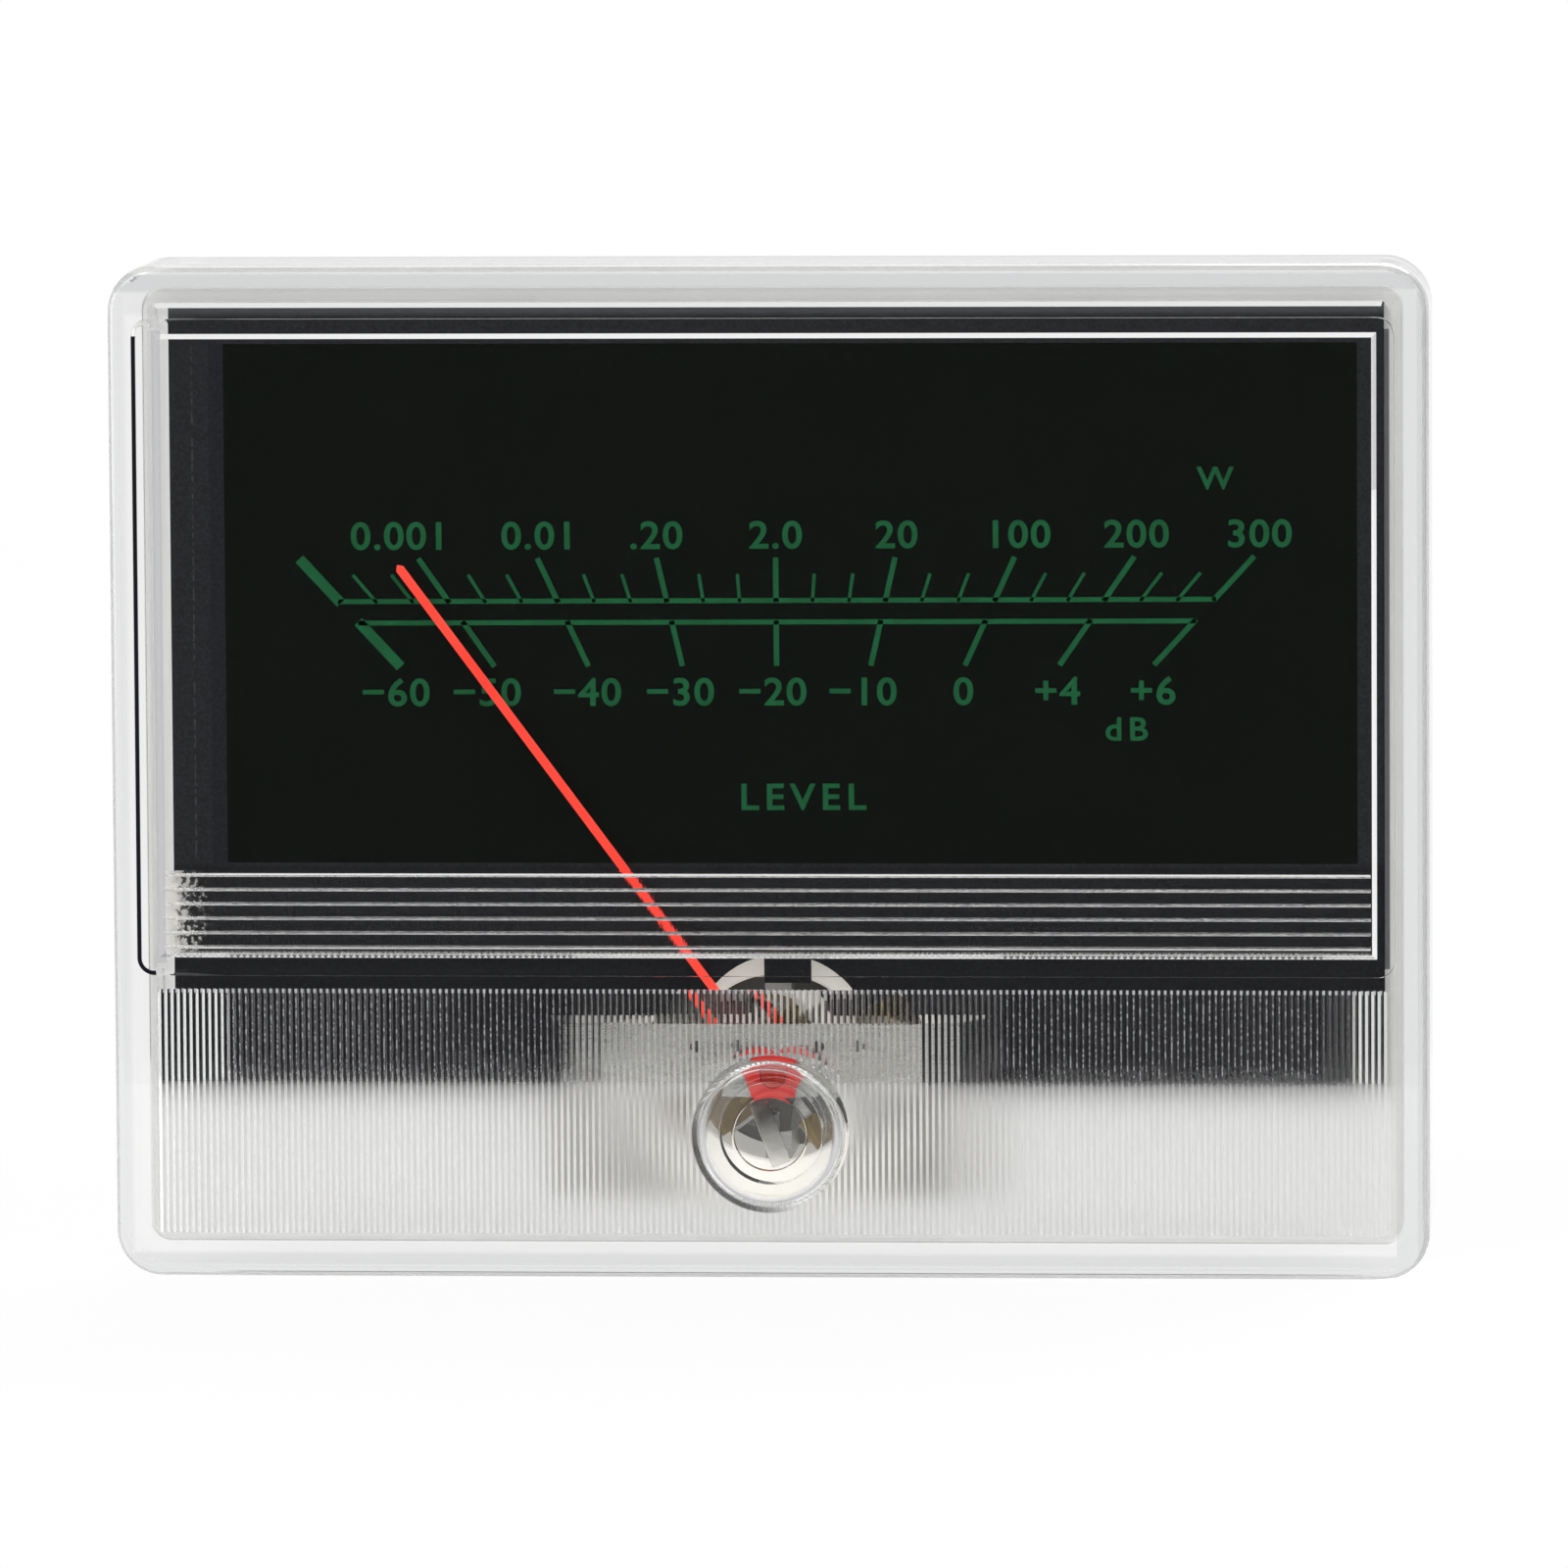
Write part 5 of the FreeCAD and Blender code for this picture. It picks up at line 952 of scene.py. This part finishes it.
def addWord(text, x, z, height, spread):
    # letters as a thin inked mesh on the dial, centred on (x, z)
    curve = bpy.data.curves.new("letters", "FONT")
    curve.body = text
    curve.align_x = "CENTER"
    curve.offset = scale["boldness"]
    curve.space_character = spread
    curve.resolution_u = scale["curveSteps"]
    holder = addObject("letters", curve)
    bpy.context.view_layer.update()
    mesh = bpy.data.meshes.new_from_object(holder.evaluated_get(bpy.context.evaluated_depsgraph_get()))
    bpy.data.objects.remove(holder)
    bm = bmesh.new()
    bm.from_mesh(mesh)
    bpy.data.meshes.remove(mesh)
    bmesh.ops.remove_doubles(bm, verts=bm.verts, dist=mergeWithin / mm)
    factor = height / scale["capHeight"] * mm
    bmesh.ops.scale(bm, verts=bm.verts, vec=(factor * scale["wide"], factor, factor))
    front = bmesh.ops.extrude_face_region(bm, geom=bm.faces[:])
    moved = [item for item in front["geom"] if isinstance(item, bmesh.types.BMVert)]
    bmesh.ops.translate(bm, verts=moved, vec=(0, 0, ink["rise"] * mm))
    bmesh.ops.recalc_face_normals(bm, faces=bm.faces)
    bmesh.ops.rotate(bm, verts=bm.verts, cent=(0, 0, 0), matrix=Matrix.Rotation(math.radians(90), 3, "X"))
    bmesh.ops.translate(bm, verts=bm.verts, vec=Vector((x, dial["faceY"], z - height / 2)) * mm)
    return bm


def makeNumbers():
    whole = bmesh.new()
    words = []
    for row in ("upper", "lower"):
        for text, x in zip(scale[row + "Numbers"], scale[row + "Places"]):
            words.append((text, x, scale[row + "Z"], scale["digitHeight"], scale["digitSpace"]))
    words += [(*mark, scale["markSpace"]) for mark in scale["marks"]]
    for text, x, z, height, spread in words:
        joinInto(whole, addWord(text, x, z, height, spread))
    setAskew(whole)
    return finishPiece(whole, "dialNumbers", "dial_black", "meter", material=inkMaterial)


makeScales()
makeNumbers()
print("dial print ready")


# pointer and movement

pointer = {"ease": 0.07, "near": 0.005}


def makePointer():
    bm = mergedCopy("pointer_needle")
    front = min(vertex.co.y for vertex in bm.verts) / mm
    soften(bm, edgesWhere(bm, lambda p: abs(p.y - front) < pointer["near"]), pointer["ease"])
    return finishPiece(bm, "pointerNeedle", "pointer_red", "pointer_system", ("pointer_needle",),
                       smoothAngle=50)


makePointer()

knob = {"rimEase": 0.62, "dishEase": 0.26, "rimInside": 4.7, "faceY": -9.95, "near": 0.02, "axisZ": -24.8}


def makeAdjuster():
    bm = mergedCopy("zero_adjuster")
    onRim = lambda p: math.hypot(p.x, p.z - knob["axisZ"]) > knob["rimInside"]
    atFace = lambda p: abs(p.y - knob["faceY"]) < knob["near"]
    soften(bm, edgesWhere(bm, lambda p: atFace(p) and onRim(p)), knob["rimEase"], 5)
    soften(bm, edgesWhere(bm, lambda p: atFace(p) and not onRim(p)), knob["dishEase"], 2)
    return finishPiece(bm, "zeroAdjuster", "clear_cover", "adjuster", ("zero_adjuster",),
                       material=finish["clear_knob"], smoothAngle=40)


makeAdjuster()

# node: name of the piece, slot, easing of its edges, and a look other than the slot's
easedNodes = {
    "yoke_ring": ("yokeRing", "yoke_steel", 0.15),
    "core_magnet": ("coreMagnet", "magnet", 0.2),
    "front_bridge": ("frontBridge", "bridge_alloy", 0.08),
    "zero_arm": ("zeroArm", "red_arm", 0.06),
    "pointer_hub": ("pointerHub", "pointer_red", 0.1),
    "balance_weights": ("balanceWeights", "copper", 0.0),
    "front_jewel_screw": ("frontJewelScrew", "brass", 0.06, "sealing"),
    "movement_frame": ("movementFrame", "white_case", 0.1),
    "terminal_washers": ("terminalWashers", "nickel", 0.08),
    "solder_lugs": ("solderLugs", "tinned", 0.06),
    "rear_case": ("rearCase", "white_case", 0.0),
    "coil_winding": ("coilWinding", "copper", 0.0),
    "coil_former": ("coilFormer", "frame_alloy", 0.0),
}

for node, dressing in easedNodes.items():
    smoothCopy(node, *dressing)
print("movement ready")


# rear terminals, turned and threaded

terminal = {
    "x": (-16.0, 16.0), "z": -3.0,
    "shank": 1.8, "end": 1.5,
    "inside": 11.4, "step": 17.3, "tip": 24.5,
    "pitch": 0.5, "threadDepth": 0.24, "crest": (0.45, 0.60), "chamfer": 0.35, "tipTaper": 0.2,
    "headAcross": 5.8, "headHeight": 1.8,
    "nutFlats": 6.0, "nutBack": 16.9, "nutFront": 14.5, "nutChamfer": 0.32,
    "boreChamfer": 0.2, "faceLand": 0.1, "cornerSpare": 0.01,
    "studSteps": 32, "nutSteps": 48,
}


def turn(bm, profile, x, z, steps):
    # a (radius, y) profile in mm spun once round an axis along Y through (x, z)
    verts = [bm.verts.new(Vector((x + radius, y, z)) * mm) for radius, y in profile]
    edges = [bm.edges.new(pair) for pair in zip(verts, verts[1:])]
    bmesh.ops.spin(bm, geom=verts + edges, cent=Vector((x, 0, z)) * mm, axis=(0, 1, 0),
                   angle=math.radians(360), steps=steps, use_merge=True, dvec=(0, 0, 0))


def threadProfile(radius, start, stop):
    # crests and roots from start to stop
    points = []
    pitch, root = terminal["pitch"], radius - terminal["threadDepth"]
    crestStart, crestEnd = terminal["crest"]
    for number in range(int((stop - start) / pitch)):
        y = start + number * pitch
        points += [(root, y), (radius, y + pitch * crestStart), (radius, y + pitch * crestEnd)]
    return points + [(root, stop)]


def cornersOf(flats):
    # a hexagon over its corners, from its measure over the flats
    return flats / math.cos(math.radians(30))


def makeStuds():
    bm = bmesh.new()
    shank, end, depth = terminal["shank"], terminal["end"], terminal["threadDepth"]
    inside, tip, height = terminal["inside"], terminal["tip"], terminal["headHeight"]
    headMiddle = inside - height / 2
    for x in terminal["x"]:
        profile = [(0.0, headMiddle), (shank - depth, headMiddle)]
        profile += threadProfile(shank, inside, terminal["step"])
        profile += threadProfile(end, terminal["step"], tip - terminal["chamfer"])
        profile += [(end - depth - terminal["tipTaper"], tip), (0.0, tip)]
        turn(bm, profile, x, terminal["z"], terminal["studSteps"])
        radius = cornersOf(terminal["headAcross"] / 2) * mm
        head = bmesh.ops.create_cone(bm, cap_ends=True, segments=6, radius1=radius, radius2=radius,
                                     depth=height * mm)["verts"]
        bmesh.ops.rotate(bm, verts=head, cent=(0, 0, 0), matrix=Matrix.Rotation(math.radians(90), 3, "X"))
        bmesh.ops.translate(bm, verts=head, vec=Vector((x, headMiddle, terminal["z"])) * mm)
    bmesh.ops.remove_doubles(bm, verts=bm.verts, dist=mergeWithin)
    return finishPiece(bm, "terminalStuds", "brass", "meter", ("terminal_studs",), smoothAngle=30, recalc=True)


def makeNuts():
    bm = bmesh.new()
    flats = terminal["nutFlats"] / 2
    corner = cornersOf(flats) + terminal["cornerSpare"]
    land, bore, boreEase = flats - terminal["faceLand"], terminal["shank"], terminal["boreChamfer"]
    front, back, ease = terminal["nutFront"], terminal["nutBack"], terminal["nutChamfer"]
    profile = [(bore, front + boreEase), (bore + boreEase, front), (land, front), (corner, front + ease),
               (corner, back - ease), (land, back), (bore + boreEase, back), (bore, back - boreEase),
               (bore, front + boreEase)]
    for x in terminal["x"]:
        part = bmesh.new()
        turn(part, profile, x, terminal["z"], terminal["nutSteps"])
        bmesh.ops.remove_doubles(part, verts=part.verts, dist=mergeWithin)
        for side in range(6):
            angle = math.radians(60 * side + 30)
            outward = Vector((math.cos(angle), 0, math.sin(angle)))
            place = Vector((x, 0, terminal["z"])) * mm + outward * flats * mm
            everything = part.verts[:] + part.edges[:] + part.faces[:]
            done = bmesh.ops.bisect_plane(part, geom=everything, dist=1e-8, plane_co=place, plane_no=outward,
                                          clear_outer=True)
            cutEdges = [item for item in done["geom_cut"] if isinstance(item, bmesh.types.BMEdge)]
            bmesh.ops.contextual_create(part, geom=cutEdges)
        joinInto(bm, part)
    return finishPiece(bm, "terminalNuts", "brass", "meter", ("terminal_nuts",), smoothAngle=25, recalc=True)


makeStuds()
makeNuts()
print("terminals ready")


# every node that keeps its own solid

slotOf = {part["node"]: part["material_slot"] for part in frame["record"]["subparts"]}
replacedNodes = {"front_cover", "zero_adjuster", "pointer_needle", "terminal_studs", "terminal_nuts", *easedNodes}

for node, item in nodes.items():
    if node not in replacedNodes:
        item.data.materials.clear()
        item.data.materials.append(finish[slotOf[node]])
print("plain nodes dressed:", len(nodes) - len(replacedNodes))

cycles = bpy.context.scene.cycles
cycles.max_bounces = 20
cycles.transmission_bounces = 20
cycles.transparent_max_bounces = 20
cycles.glossy_bounces = 10
cycles.diffuse_bounces = 4
cycles.caustics_reflective = False
cycles.caustics_refractive = False
